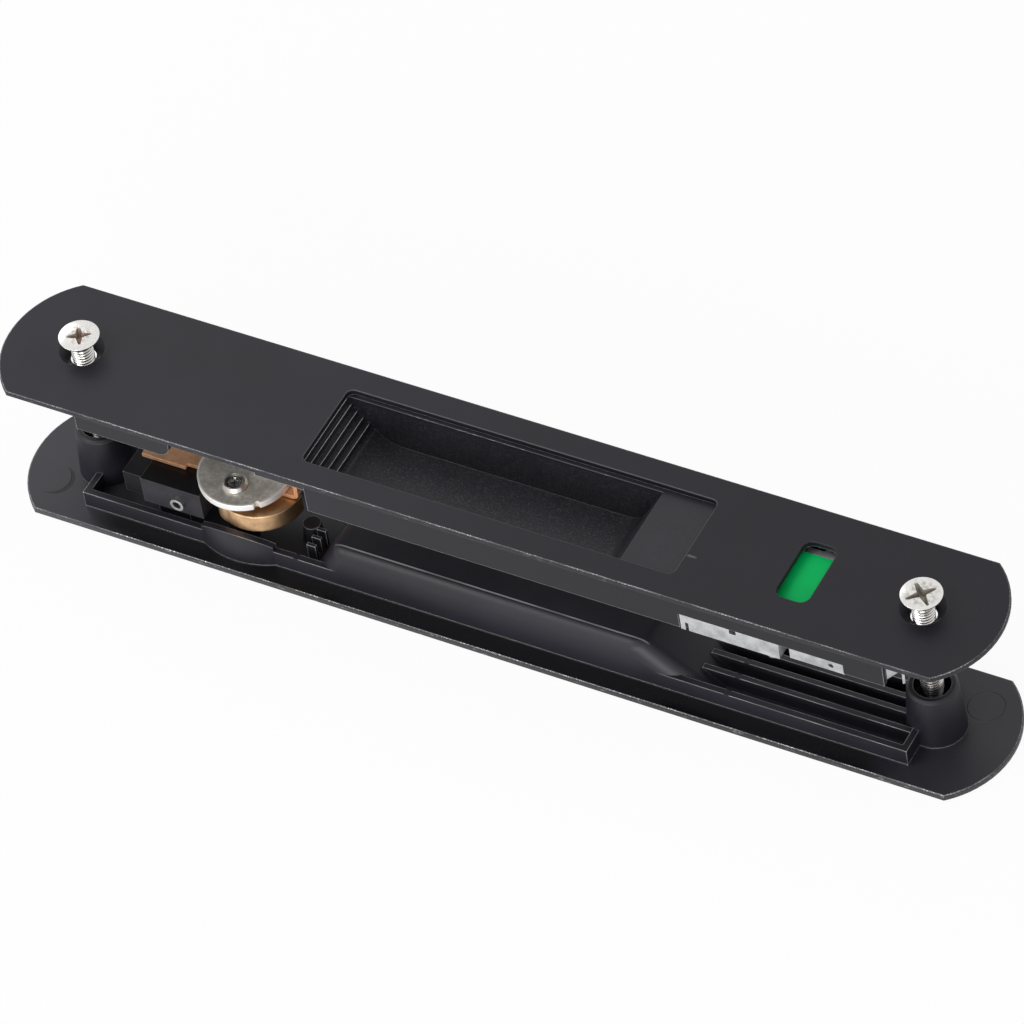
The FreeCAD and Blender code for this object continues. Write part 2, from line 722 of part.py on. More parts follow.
def make_front_housing():
    """Front half with the finger cup window, the sight window and the skirts."""
    body = new_body("front_housing", z=FRONT_UNDER)
    sketch = new_sketch(body, "front_plate_outline")
    cover_outline(sketch)
    plate = pad(body, sketch, "front_plate", "front_plate_pad")
    break_edges(body, plate, "edge_break", lambda edge: not upright(edge), "front_plate_rim")

    inside = "front_plate / 2"
    left_part = [
        ("-skirt_end", inside), ("-skirt_end", "-skirt_left"),
        ("hook_gap_left - skirt_round", "-skirt_left", "hook_gap_left - skirt_round",
         "skirt_round - skirt_left", 1),
        ("hook_gap_left", "skirt_round - skirt_left"), ("hook_gap_left", inside),
    ]
    right_part = [
        ("hook_gap_right", inside), ("hook_gap_right", "-skirt_middle"),
        ("bridge_gap_left", "-skirt_middle"), ("bridge_gap_left", "-skirt_low"),
        ("bridge_gap_right", "-skirt_low"), ("bridge_gap_right", "-skirt_right"),
        ("skirt_end", "-skirt_right"), ("skirt_end", inside),
    ]
    far_part = [("-skirt_end", inside), ("-skirt_end", "-skirt_left"),
                ("hook_gap_right", "-skirt_left")] + right_part[1:]
    for name, corners, lift in (("near_left_skirt", left_part, "skirt_half"),
                                ("near_right_skirt", right_part, "skirt_half"),
                                ("far_skirt", far_part, f"-{SKIRT_INNER}")):
        sketch = new_sketch(body, f"{name}_outline", "XZ_Plane", lift)
        outline(sketch, corners)
        pad(body, sketch, "skirt_wall", name, against=True)

    sketch = new_sketch(body, "window_outline")
    round_rectangle(sketch, "window_left", "window_right", "-window_half", "window_half", "window_round")
    pocket(body, sketch, "front_plate * 2 + 1", "window", both_ways=True)
    sketch = new_sketch(body, "sight_outline")
    round_rectangle(sketch, "sight_left", "sight_left + sight_width", "-sight_half", "sight_half",
                    "sight_round")
    sight = pocket(body, sketch, "front_plate * 2 + 1", "sight_window", both_ways=True)
    face = number("front_plate")
    reach = number("window_half + window_round")
    break_edges(body, sight, "edge_break / 2", lambda edge: level_at(edge, face)
                and max(abs(edge.BoundBox.YMin), abs(edge.BoundBox.YMax)) < reach
                and edge.BoundBox.XLength < number("plate_length / 2"), "window_rims")

    for side in (-1, 1):
        x = f"({side} * screw_spacing / 2)"
        word = "left" if side < 0 else "right"
        cylinder(body, f"screw_pad_{word}", "countersink_pad", "countersink_pad_depth + front_plate / 2",
                 x, "0", "-countersink_pad_depth")
        cylinder(body, f"screw_hole_{word}", "countersink_hole",
                 "countersink_pad_depth + front_plate + 2", x, "0", "-countersink_pad_depth - 1", cut=True)
        cone(body, f"countersink_{word}", "countersink_hole", "countersink_top", "countersink_depth", x, "0",
             "front_plate - countersink_depth", cut=True)

    for side in (-1, 1):
        word = "near" if side < 0 else "far"
        y = f"({side} * guide_post_y)"
        cylinder(body, f"guide_post_{word}", "guide_post", f"skirt_low + {inside}", "guide_post_x", y,
                 "-skirt_low")
        near = f"{SKIRT_INNER} - pilaster_depth" if side > 0 else f"-{SKIRT_INNER} - skirt_wall / 2"
        far = f"{SKIRT_INNER} + skirt_wall / 2" if side > 0 else f"-{SKIRT_INNER} + pilaster_depth"
        box(body, f"pilaster_{word}", "pilaster_left", "pilaster_left + pilaster_width", near, far,
            "-skirt_low", inside)
    return body


# Guides that carry the finger cup from below

def make_guide_plate():
    """Slotted plate on two posts under the left end of the cup."""
    body = new_body("guide_plate", z=f"{BRIDGE_TOP} - guide_plate")
    sketch = new_sketch(body, "guide_plate_outline")
    slot_near = "(link_centre - link_width / 2 - guide_slot_gap)"
    slot_far = "(link_centre + link_width / 2 + guide_slot_gap)"
    slot_left = "(link_riser - guide_slot_gap)"
    outline(sketch, [
        ("guide_left", "-guide_half"), ("guide_right", "-guide_half"), ("guide_right", slot_near),
        (slot_left, slot_near), (slot_left, slot_far), ("guide_right", slot_far),
        ("guide_right", "guide_half"), ("guide_left", "guide_half"),
    ])
    pad(body, sketch, "guide_plate", "guide_plate_pad")
    return body


def make_guide_bridge():
    """Zinc cross bridge under the right end of the cup, seated on the skirts' low edges."""
    body = new_body("guide_bridge", z=f"{BRIDGE_TOP} - bridge_height")
    sketch = new_sketch(body, "bridge_section", "YZ_Plane", "bridge_gap_left + side_gap")
    inner = "(skirt_half - bridge_rail)"
    outline(sketch, [
        ("-skirt_half", "0"), ("skirt_half", "0"), ("skirt_half", "bridge_height"),
        (inner, "bridge_height"), (inner, "bridge_floor"), (f"-{inner}", "bridge_floor"),
        (f"-{inner}", "bridge_height"), ("-skirt_half", "bridge_height"),
    ])
    pad(body, sketch, "bridge_end - bridge_gap_left - side_gap", "bridge_pad")
    box(body, "bridge_notch", "bridge_gap_left + notch_x", "bridge_gap_left + notch_x + notch_width",
        "-skirt_half - 1", f"-{inner} + 1", "bridge_height - notch_depth", "bridge_height + 1", cut=True)
    box(body, "bridge_slit", "bridge_gap_left + slit_x", "bridge_gap_left + slit_x + slit_width",
        "-skirt_half - 1", f"-{inner} + 1", "-1", "bridge_floor + slit_rise", cut=True)
    return body


# Finger cup that slides in the front housing

def make_slider_cup():
    """Black finger cup: flange, side runners, stepped left end and smooth dish."""
    body = new_body("slider_cup", z=CUP_TOP)
    inner = f"({CUP_HALF} - cup_wall)"
    sketch = new_sketch(body, "runner_section", "YZ_Plane", "cup_left")
    outline(sketch, [
        (f"-{CUP_HALF}", "0"), (f"-{CUP_HALF}", f"-{RUNNER_DEPTH}"), (f"-{inner}", f"-{RUNNER_DEPTH}"),
        (f"-{inner}", "-cup_flange"), (inner, "-cup_flange"), (inner, f"-{RUNNER_DEPTH}"),
        (CUP_HALF, f"-{RUNNER_DEPTH}"), (CUP_HALF, "0"),
    ])
    pad(body, sketch, "cup_right - cup_left", "runner_pad")
    box(body, "cup_end_wall", "cup_left", "cup_left + cup_wall", f"-{inner} - cup_wall / 2",
        f"{inner} + cup_wall / 2", f"-{RUNNER_DEPTH}", "-cup_flange / 2")
    shell = "(dish_depth + dish_wall)"
    outer_top = "(window_left - step_wall)"
    outer_foot = f"({outer_top} + ({shell} - step_lip) * step_run / step_drop)"
    right_shift = "dish_wall * sqrt(1 + (dish_lean / dish_depth)^2)"
    outer_right = f"(dish_right + {right_shift})"
    sketch = new_sketch(body, "dish_shell_profile", "XZ_Plane")
    outline(sketch, [
        (outer_top, "-cup_flange / 2"), (outer_top, "-step_lip"), (outer_foot, f"-{shell}"),
        (f"{outer_right} - dish_lean * {shell} / dish_depth", f"-{shell}"),
        (outer_right, "0 - cup_flange / 2"),
    ])
    pad(body, sketch, f"({CUP_HALF} - cup_skin) * 2", "dish_shell", middle=True)

    last = int(SIZES["step_count"]) - 1
    stairs = [("window_left", "0")]
    for index in range(last + 1):
        depth = f"-(step_lip + step_drop * {index})"
        back = f"window_left + step_first + step_run * {index - 1}" if index else "window_left"
        stairs.append((back, depth))
        stairs.append((f"window_left + step_first + step_run * {index}", depth))
    left_over = f"(dish_depth - step_lip - step_drop * {last})"
    run = f"sqrt(2 * {left_over} * dish_sweep - {left_over}^2)"
    sweep_x = f"({stairs[-1][0]} + {run})"
    stairs[-1] = (*stairs[-1], sweep_x, "dish_sweep - dish_depth", 1)
    sketch = new_sketch(body, "dish_profile", "XZ_Plane")
    outline(sketch, stairs + [(sweep_x, "-dish_depth"), ("dish_right - dish_lean", "-dish_depth"),
                              ("dish_right", "0")])
    dish = pocket(body, sketch, "dish_half * 2", "dish", both_ways=True)
    foot = (number("dish_right - dish_lean"), number("-dish_depth"))
    round_edges(body, dish, "dish_round", lambda edge: edge.BoundBox.YLength > 1
                and abs(edge.BoundBox.Center.x - foot[0]) < 0.01
                and abs(edge.BoundBox.Center.z - foot[1]) < 0.01, "dish_round_end")
    return body


def rivet_x():
    """X place of the two link rivets."""
    return f"((link_riser + link_thick + {FOOT_END}) / 2)"


def rivet_places():
    """Y places of the two link rivets."""
    return ["(link_centre - link_width / 4)", "(link_centre + link_width / 4)"]


def carrier_screw_x():
    """X place of the two screws between cup and indicator carrier."""
    return "((carrier_left + cup_right) / 2)"


# Indicator: zinc carrier with two colour labels

def make_indicator_carrier():
    """Zinc plate behind the sight window, with two legs down to the bridge's level."""
    body = new_body("indicator_carrier", z=CARRIER_TOP)
    box(body, "carrier_plate", "carrier_left", "carrier_right", "-carrier_half", "carrier_half",
        "-carrier_thick", "0")
    outer = f"({SKIRT_INNER} - leg_gap)"
    box(body, "carrier_wings", "leg_left", "carrier_right", f"-{outer}", outer, "-carrier_thick", "0")
    for side in (-1, 1):
        near = f"-{outer}" if side < 0 else f"{outer} - leg_wall"
        far = f"-{outer} + leg_wall" if side < 0 else outer
        box(body, f"carrier_leg_{side + 1}", "leg_left", "carrier_right", near, far, "-leg_depth",
            "-carrier_thick / 2")
    cylinder(body, "leg_hole", "leg_hole", "leg_wall + 2", "carrier_right - leg_hole_x",
             f"-{outer} + leg_wall + 1", "-leg_depth + leg_hole_rise", cut=True, turn=((1, 0, 0), 90))
    return body


def make_label(label, left):
    """Flat colour label on the carrier."""
    body = new_body(label, x=left, z=CARRIER_TOP)
    box(body, f"{label}_plate", "0", "label_width", "-label_half", "label_half - label_short",
        "0", "label_thick")
    return body


# Drive link from the cup down to the crank pin

def make_drive_link():
    """Bent strip: foot under the cup, riser, and a tongue with a cross slot for the crank pin."""
    body = new_body("drive_link", z=LINK_LOW)
    rise = f"({CARRIER_TOP} - {LINK_LOW})"
    sketch = new_sketch(body, "link_section", "XZ_Plane", "-(link_centre + link_width / 2)")
    foot_end = FOOT_END
    outline(sketch, [
        ("link_left", "0"), ("link_riser + link_thick", "0"),
        ("link_riser + link_thick", f"{rise} - link_thick"), (foot_end, f"{rise} - link_thick"),
        (foot_end, rise), ("link_riser", rise), ("link_riser", "link_thick"), ("link_left", "link_thick"),
    ])
    strip = pad(body, sketch, "link_width", "link_strip")
    bends = [(number("link_riser"), number("link_thick")),
             (number("link_riser + link_thick"), number(f"{rise} - link_thick"))]
    rounds = [(number("link_riser + link_thick"), 0.0), (number("link_riser"), number(rise))]

    def on_line(edge, lines):
        size = edge.BoundBox
        return size.YLength > 1 and any(abs(size.Center.x - x) < 0.01 and abs(size.Center.z - z) < 0.01
                                        for x, z in lines)
    strip = round_edges(body, strip, "link_bend", lambda edge: on_line(edge, bends), "inner_bends")
    round_edges(body, strip, "link_bend + link_thick", lambda edge: on_line(edge, rounds), "outer_bends")
    near_side = "(link_centre - link_width / 2)"
    box(body, "link_tail", "link_left", "tail_right", f"{near_side} - tail_extra",
        f"{near_side} + tail_extra", "0", "link_thick")
    sketch = new_sketch(body, "cross_slot_outline")
    slot_x = f"(pivot_x + {PIN_X})"
    half = "(crank_pin + pin_play)"
    near = f"(pivot_y + {PIN_Y} - crank_pin - link_gap * 2)"
    far = f"(pivot_y + {CRANK} + crank_pin + link_gap * 2)"
    round_rectangle(sketch, f"({slot_x} - {half})", f"({slot_x} + {half})", near, far, "slot_round")
    pocket(body, sketch, "link_thick * 3", "cross_slot", both_ways=True)
    return body


# Hook, cap disc, collar and crank pin, modelled about the pivot

def polar(radius, angle):
    """Two expressions for a point at a radius and an angle about the pivot."""
    return f"({radius} * cos({angle}))", f"({radius} * sin({angle}))"


def make_hook():
    """Thick bronze hook: round back, hub, crank lobe, and an arm with a claw past the throat."""
    body = new_body("hook", "pivot_x", "pivot_y", HOOK_LOW)
    sketch = new_sketch(body, "hub_outline")
    circle(sketch, "0", "0", "hub_radius")
    pad(body, sketch, "hook_thick", "hub")
    sketch = new_sketch(body, "lobe_outline")
    circle(sketch, "lobe_x", "lobe_y", "lobe_radius")
    pad(body, sketch, "hook_thick", "lobe")
    sketch = new_sketch(body, "crank_end_outline")
    circle(sketch, PIN_X, PIN_Y, "crank_width")
    pad(body, sketch, "hook_thick", "crank_end")
    sketch = new_sketch(body, "crank_web_outline")
    across = (f"(crank_width * sin({REST_ANGLE}))", f"(crank_width * cos({REST_ANGLE}))")
    outline(sketch, [
        (f"-{across[0]}", across[1]), (across[0], f"-{across[1]}"),
        (f"{PIN_X} + {across[0]}", f"{PIN_Y} - {across[1]}"),
        (f"{PIN_X} - {across[0]}", f"{PIN_Y} + {across[1]}"),
    ])
    pad(body, sketch, "hook_thick", "crank_web")
    sketch = new_sketch(body, "throat_outline")
    outline(sketch, [
        (*polar("throat_radius", "throat_mouth"), "0", "0", 1), polar("throat_radius", "arm_low"),
        (*polar("claw_inner", "arm_low"), "0", "0", -1), polar("claw_inner", "throat_mouth"),
    ])
    pocket(body, sketch, "hook_thick * 3", "throat", both_ways=True)
    sketch = new_sketch(body, "claw_outline")
    corners = [
        (*polar("claw_outer", "claw_tip"), "0", "0", 1), polar("claw_outer", "arm_high"),
        polar("arm_root", "arm_high"), polar("arm_root", "arm_low"),
        (*polar("claw_inner", "arm_low"), "0", "0", -1), polar("claw_inner", "claw_tip + claw_beak"),
    ]
    outline(sketch, corners)
    claw = pad(body, sketch, "hook_thick", "claw")
    tips = [tuple(number(value) for value in corners[index][:2]) for index in (0, 1, 5)]

    def at_tip(edge):
        middle = edge.BoundBox.Center
        return upright(edge) and any(math.hypot(middle.x - x, middle.y - y) < 0.01 for x, y in tips)
    round_edges(body, claw, "claw_round", at_tip, "claw_rounds")
    cylinder(body, "pivot_bore", "pivot_shank + pivot_play", "hook_thick + 2", z="-1", cut=True)
    cylinder(body, "crank_bore", "crank_pin + fit", "hook_thick + 2", PIN_X, PIN_Y, "-1", cut=True)
    return body


def make_cap_disc():
    """Steel disc over the hook, set back from the pivot."""
    body = new_body("hook_cap_disc", "pivot_x", "pivot_y", DISC_LOW)
    sketch = new_sketch(body, "disc_outline")
    circle(sketch, "disc_offset_x", "disc_offset_y", "disc_radius")
    pad(body, sketch, "disc_thick", "disc")
    cylinder(body, "collar_hole", "collar_radius + fit", "disc_thick + 2", z="-1", cut=True)
    cylinder(body, "pin_hole", "crank_pin + fit", "disc_thick + 2", PIN_X, PIN_Y, "-1", cut=True)
    cylinder(body, "rim_notch", "disc_notch", "disc_thick + 2",
             "disc_offset_x + disc_radius * cos(disc_notch_angle)",
             "disc_offset_y + disc_radius * sin(disc_notch_angle)", "-1", cut=True)
    return body


def make_collar():
    """Turned collar between hook and disc, with a flared lip round the pivot screw's head."""
    body = new_body("pivot_collar", "pivot_x", "pivot_y", f"{HOOK_LOW} + hook_thick + fit")
    height = f"({DISC_TOP} + collar_rise - ({HOOK_LOW} + hook_thick + fit))"
    flare = f"({DISC_TOP} - ({HOOK_LOW} + hook_thick))"
    ledge = f"({height} - pivot_head_height - head_gap)"
    wide = "(collar_radius + collar_lip)"
    sketch = new_sketch(body, "collar_section", "XZ_Plane")
    outline(sketch, [
        ("pivot_shank + pivot_play", "0"), ("collar_radius", "0"), ("collar_radius", flare), (wide, flare),
        (wide, f"{flare} + collar_lip"), ("pivot_head + head_gap + lip_flat", height),
        ("pivot_head + head_gap", height), ("pivot_head + head_gap", ledge),
        ("pivot_shank + pivot_play", ledge),
    ])
    turn = body.newObject("PartDesign::Revolution", "collar_turn")
    turn.Profile = sketch
    turn.ReferenceAxis = (sketch, ["V_Axis"])
    turn.Angle = 360
    return body


def make_crank_pin():
    """Pin that runs through hook, link slot and cap disc."""
    low = "hook_thick / 4"
    body = new_body("crank_pin", f"pivot_x + {PIN_X}", f"pivot_y + {PIN_Y}", f"{HOOK_LOW} + {low}")
    cylinder(body, "pin_shaft", "crank_pin", f"{DISC_TOP} - {HOOK_LOW} - {low}")
    return body


def make_pivot_screw():
    """Screw that holds the hook on the rear housing's pivot boss."""
    foot = "(rear_plate + pivot_screw_foot)"
    body = new_body("pivot_screw", "pivot_x", "pivot_y", foot)
    under_head = f"({DISC_TOP} + collar_rise - pivot_head_height)"
    cylinder(body, "pivot_shank_post", "pivot_shank", f"{under_head} + pivot_head_height / 2 - {foot}")
    cylinder(body, "pivot_head_disc", "pivot_head", "pivot_head_height - pivot_head_sink",
             z=f"{under_head} - {foot}")
    return body


def make_thrust_washer():
    """Flat washer between the pivot boss and the hook."""
    body = new_body("thrust_washer", "pivot_x", "pivot_y", "rear_plate + pivot_boss_height")
    sketch = new_sketch(body, "washer_outline")
    circle(sketch, "0", "0", "washer_radius")
    circle(sketch, "0", "0", "pivot_shank + pivot_play")
    pad(body, sketch, "washer_thick", "washer")
    return body


# Guide block left of the hook, with its cross pin

def make_guide_block():
    """Black block that the link's tongue slides on."""
    body = new_body("guide_block", z="rear_plate + block_base")
    tall = f"({LINK_LOW} - link_gap - rear_plate - block_base)"
    sketch = new_sketch(body, "block_outline")
    outline(sketch, [
        ("block_left", "block_near"), ("block_right", "block_near"), ("block_right", "block_relief_y"),
        ("block_relief_x", "block_relief_y"), ("block_relief_x", "block_far"), ("block_left", "block_far"),
    ])
    pad(body, sketch, tall, "block")
    box(body, "block_low_step", "block_left - block_step", "block_left + block_step_inset",
        "block_near + block_step_inset", "block_far", "0", f"{tall} - block_step_drop")
    cylinder(body, "cross_pin_hole", "block_pin_radius + fit",
             "block_pin_length - block_pin_stand + block_pin_end_gap", "block_pin_x",
             "block_near + block_pin_length - block_pin_stand", "block_pin_rise", cut=True,
             turn=((1, 0, 0), 90))
    for index, x in enumerate(block_screw_places()):
        cylinder(body, f"block_counterbore_{index}", "small_head + fit * 2", "small_head_height * 2", x,
                 "block_screw_y", f"{tall} - small_head_height - head_sink", cut=True)
    return body


def make_block_pin():
    """Hollow steel pin that stands out of the block's near face."""
    body = new_body("block_pin", "block_pin_x", "block_near - block_pin_stand",
                    "rear_plate + block_base + block_pin_rise")
    sketch = new_sketch(body, "pin_ring", "XZ_Plane")
    circle(sketch, "0", "0", "block_pin_radius")
    circle(sketch, "0", "0", "block_pin_bore")
    pad(body, sketch, "block_pin_length", "pin_tube", against=True)
    return body


# Clamp screws

def make_clamp_screw(label, side):
    """Countersunk machine screw that draws the two halves together."""
    body = new_body(label, f"({side} * screw_spacing / 2)", "0", f"{FRONT_TOP} + clamp_stand")
    sketch = new_sketch(body, f"{label}_section", "XZ_Plane")
    outline(sketch, [
        ("0", "0"), ("0", "-clamp_length"), ("clamp_shank - clamp_tip", "-clamp_length"),
        ("clamp_shank", "-clamp_length + clamp_tip"), ("clamp_shank", "-clamp_head_height"),
        ("clamp_head", "-clamp_head_edge"), ("clamp_head", "0"),
    ])
    turn = body.newObject("PartDesign::Revolution", f"{label}_turn")
    turn.Profile = sketch
    turn.ReferenceAxis = (sketch, ["V_Axis"])
    turn.Angle = 360
    for index, (length, width) in enumerate((("clamp_head", "recess_width"), ("recess_width", "clamp_head"))):
        box(body, f"{label}_recess_{index}", f"-{length} / 2", f"{length} / 2", f"-{width} / 2",
            f"{width} / 2", "-recess_depth", "1", cut=True)
    return body


# Stop spring beside the right clamp screw

def make_stop_spring():
    """Bent leaf on the near skirt that softens the end of the carrier's travel."""
    body = new_body("stop_spring", z=f"{FRONT_UNDER} - skirt_right + spring_rise")
    sketch = new_sketch(body, "spring_outline")
    wall = f"-{SKIRT_INNER}"
    bend = "skirt_end + spring_inset"
    peak = "skirt_end + spring_width / 2"
    outline(sketch, [
        ("spring_left", wall), (bend, wall), (peak, f"{wall} + spring_reach"),
        (f"{bend} + spring_width", wall), (f"{bend} + spring_width + spring_thick", f"{wall} + spring_thick"),
        (peak, f"{wall} + spring_reach + spring_thick * 2"),
        (f"{bend} - spring_thick / 2", f"{wall} + spring_thick"),
        ("spring_left", f"{wall} + spring_thick"),
    ])
    pad(body, sketch, "spring_height", "spring_leaf")
    return body


make_rear_housing()
make_tray_left()
make_tray_right()
make_rear_cup()
make_front_housing()
make_guide_plate()
make_guide_bridge()
make_slider_cup()
make_indicator_carrier()
green_left = "(sight_left + sight_width / 2 - label_width / 2)"
make_label("green_label", green_left)
make_label("red_label", f"({green_left} - slide_travel)")
make_drive_link()
make_hook()
make_cap_disc()
make_collar()
make_crank_pin()
make_pivot_screw()
make_thrust_washer()
make_guide_block()
make_block_pin()
make_clamp_screw("clamp_screw_left", -1)
make_clamp_screw("clamp_screw_right", 1)
make_stop_spring()

fastener_group("guide_screws", [("guide_post_x", f"{side} * guide_post_y") for side in (-1, 1)],
               f"({BRIDGE_TOP} - guide_plate)")
fastener_group("bridge_screws", [(BRIDGE_SCREW_X, f"{side} * {BRIDGE_SCREW_Y}") for side in (-1, 1)],
               f"({BRIDGE_TOP} - bridge_height)")
fastener_group("carrier_screws", [(carrier_screw_x(), f"{side} * carrier_half / 2") for side in (-1, 1)],
               f"({CARRIER_TOP} - carrier_thick)")
fastener_group("link_rivets", [(rivet_x(), y) for y in rivet_places()], f"({CARRIER_TOP} - link_thick)")
fastener_group("block_screws", [(x, "block_screw_y") for x in block_screw_places()],
               f"({LINK_LOW} - link_gap - small_head_height - head_sink)", below=False)

doc.recompute()

# Checks before anything is written

for item in doc.Objects:
    if "Invalid" in item.State or "Error" in item.State:
        raise RuntimeError(f"{item.Label} failed: {item.State}")
for cut in CUTS:
    before = cut.BaseFeature.Shape.Volume
    if cut.Shape.Volume > before - 1e-3:
        raise RuntimeError(f"{cut.Label} removes nothing")
for part in SUBPARTS:
    shape = part.Shape
    if shape.isNull() or not shape.isValid() or shape.Volume <= 0:
        raise RuntimeError(f"{part.Label} has no valid solid")

os.makedirs("parts", exist_ok=True)
for part in SUBPARTS:
    part.Shape.exportStep(f"parts/{part.Label}.step")
    bounds = part.Shape.BoundBox
    print(f"{part.Label:20s} solids {len(part.Shape.Solids)} volume {part.Shape.Volume:10.1f} "
          f"x {bounds.XMin:7.1f} {bounds.XMax:7.1f} y {bounds.YMin:6.1f} {bounds.YMax:6.1f} "
          f"z {bounds.ZMin:6.1f} {bounds.ZMax:6.1f}")
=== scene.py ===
"""Sliding door hook lock: two black covers, a sliding finger cup and a swinging hook.

Every length is in metres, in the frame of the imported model: X along the lock towards the
indicator window, Y away from the jamb side, Z from the rear cover up to the front cover.
"""
import logging
import math
from dataclasses import dataclass, replace
from enum import Enum
from functools import cached_property, reduce
from operator import mul
from typing import Any, Iterable

import bmesh
import bpy
from mathutils import Matrix, Vector


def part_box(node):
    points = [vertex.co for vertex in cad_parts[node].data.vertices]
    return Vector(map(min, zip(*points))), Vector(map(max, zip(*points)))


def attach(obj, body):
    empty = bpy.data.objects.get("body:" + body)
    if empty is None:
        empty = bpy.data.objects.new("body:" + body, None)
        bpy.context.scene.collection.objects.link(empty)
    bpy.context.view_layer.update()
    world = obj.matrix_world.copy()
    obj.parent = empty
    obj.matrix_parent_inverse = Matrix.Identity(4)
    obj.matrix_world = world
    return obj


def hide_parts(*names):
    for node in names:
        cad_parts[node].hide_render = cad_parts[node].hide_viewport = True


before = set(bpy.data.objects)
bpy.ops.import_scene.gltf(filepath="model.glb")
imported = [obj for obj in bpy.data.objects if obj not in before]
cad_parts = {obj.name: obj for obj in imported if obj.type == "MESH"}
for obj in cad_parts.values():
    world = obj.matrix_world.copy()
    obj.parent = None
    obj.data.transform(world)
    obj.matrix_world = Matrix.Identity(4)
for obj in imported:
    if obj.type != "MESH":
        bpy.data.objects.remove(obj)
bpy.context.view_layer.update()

log = logging.getLogger("hook_lock")
MM = 0.001
WHITE = (1.0, 1.0, 1.0)
Colour = tuple[float, float, float]
Triple = tuple[float, float, float]
Pair = tuple[float, float]
Entries = dict[Any, Any] | None


def scaled(colour: Colour, share: float) -> Colour:
    """Make a colour darker or brighter, up to white."""
    return tuple(min(1.0, part * share) for part in colour)


class Value:
    """A shader value on which Python's operators add Math nodes."""

    def __init__(self, graph: "Graph", socket: bpy.types.NodeSocket) -> None:
        """Keep the graph and the output socket."""
        self.graph = graph
        self.socket = socket

    def maths(self, operation: str, first: Any, second: Any = None) -> "Value":
        """Add one Math node, by Blender's name of the operation."""
        return self.graph.value("ShaderNodeMath", {"operation": operation}, {0: first, 1: second})

    def __add__(self, other: Any) -> "Value":
        """Sum."""
        return self.maths("ADD", self, other)

    __radd__ = __add__

    def __sub__(self, other: Any) -> "Value":
        """Difference."""
        return self.maths("SUBTRACT", self, other)

    def __rsub__(self, other: Any) -> "Value":
        """Difference with this value taken away."""
        return self.maths("SUBTRACT", other, self)

    def __mul__(self, other: Any) -> "Value":
        """Product."""
        return self.maths("MULTIPLY", self, other)

    def __pow__(self, other: Any) -> "Value":
        """Power."""
        return self.maths("POWER", self, other)

    def __abs__(self) -> "Value":
        """Size without its sign."""
        return self.maths("ABSOLUTE", self)

    def least(self, other: Any) -> "Value":
        """Smaller of two values."""
        return self.maths("MINIMUM", self, other)

    def most(self, other: Any) -> "Value":
        """Larger of two values."""
        return self.maths("MAXIMUM", self, other)

    def root(self) -> "Value":
        """Square root."""
        return self.maths("SQRT", self)

    def span(self, low: float, high: float) -> "Value":
        """Stretch a value from 0 to 1 over low to high."""
        return self * (high - low) + low

    def between(self, low: float, high: float) -> "Value":
        """Ramp smoothly from 0 at low to 1 at high; low may be the larger."""
        values = {0: self, 1: min(low, high), 2: max(low, high),
                  3: float(low > high), 4: float(low <= high)}
        return self.graph.value("ShaderNodeMapRange", {"interpolation_type": "SMOOTHSTEP"}, values)


@dataclass(frozen=True)
class Grain:
    """One noise pattern: blotch size, finer layers, stretch, offset, and a ramp over it."""

    size: float
    detail: float = 3.0
    rough: float = 0.5
    stretch: Triple = (1.0, 1.0, 1.0)
    shift: Triple = (0.0, 0.0, 0.0)
    ramp: Pair | None = None


class Axis(Enum):
    """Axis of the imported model, by its place in a vector."""

    X = 0
    Y = 1
    Z = 2


# A soft box: for each side its axis, and in millimetres where it starts and where it is full.
Zone = tuple[tuple[Axis, float, float], ...]


@dataclass(frozen=True)
class Tint:
    """A colour, its share where a mask is full, and a zone where it lies and takes gloss."""

    colour: Colour
    share: float
    zone: Zone = ()
    gloss: float = 0.0


class MixKind(Enum):
    """What a Mix node blends: Blender's name, the two inputs and the output."""

    COLOUR = ("RGBA", 6, 7, 2)
    VECTOR = ("VECTOR", 4, 5, 1)


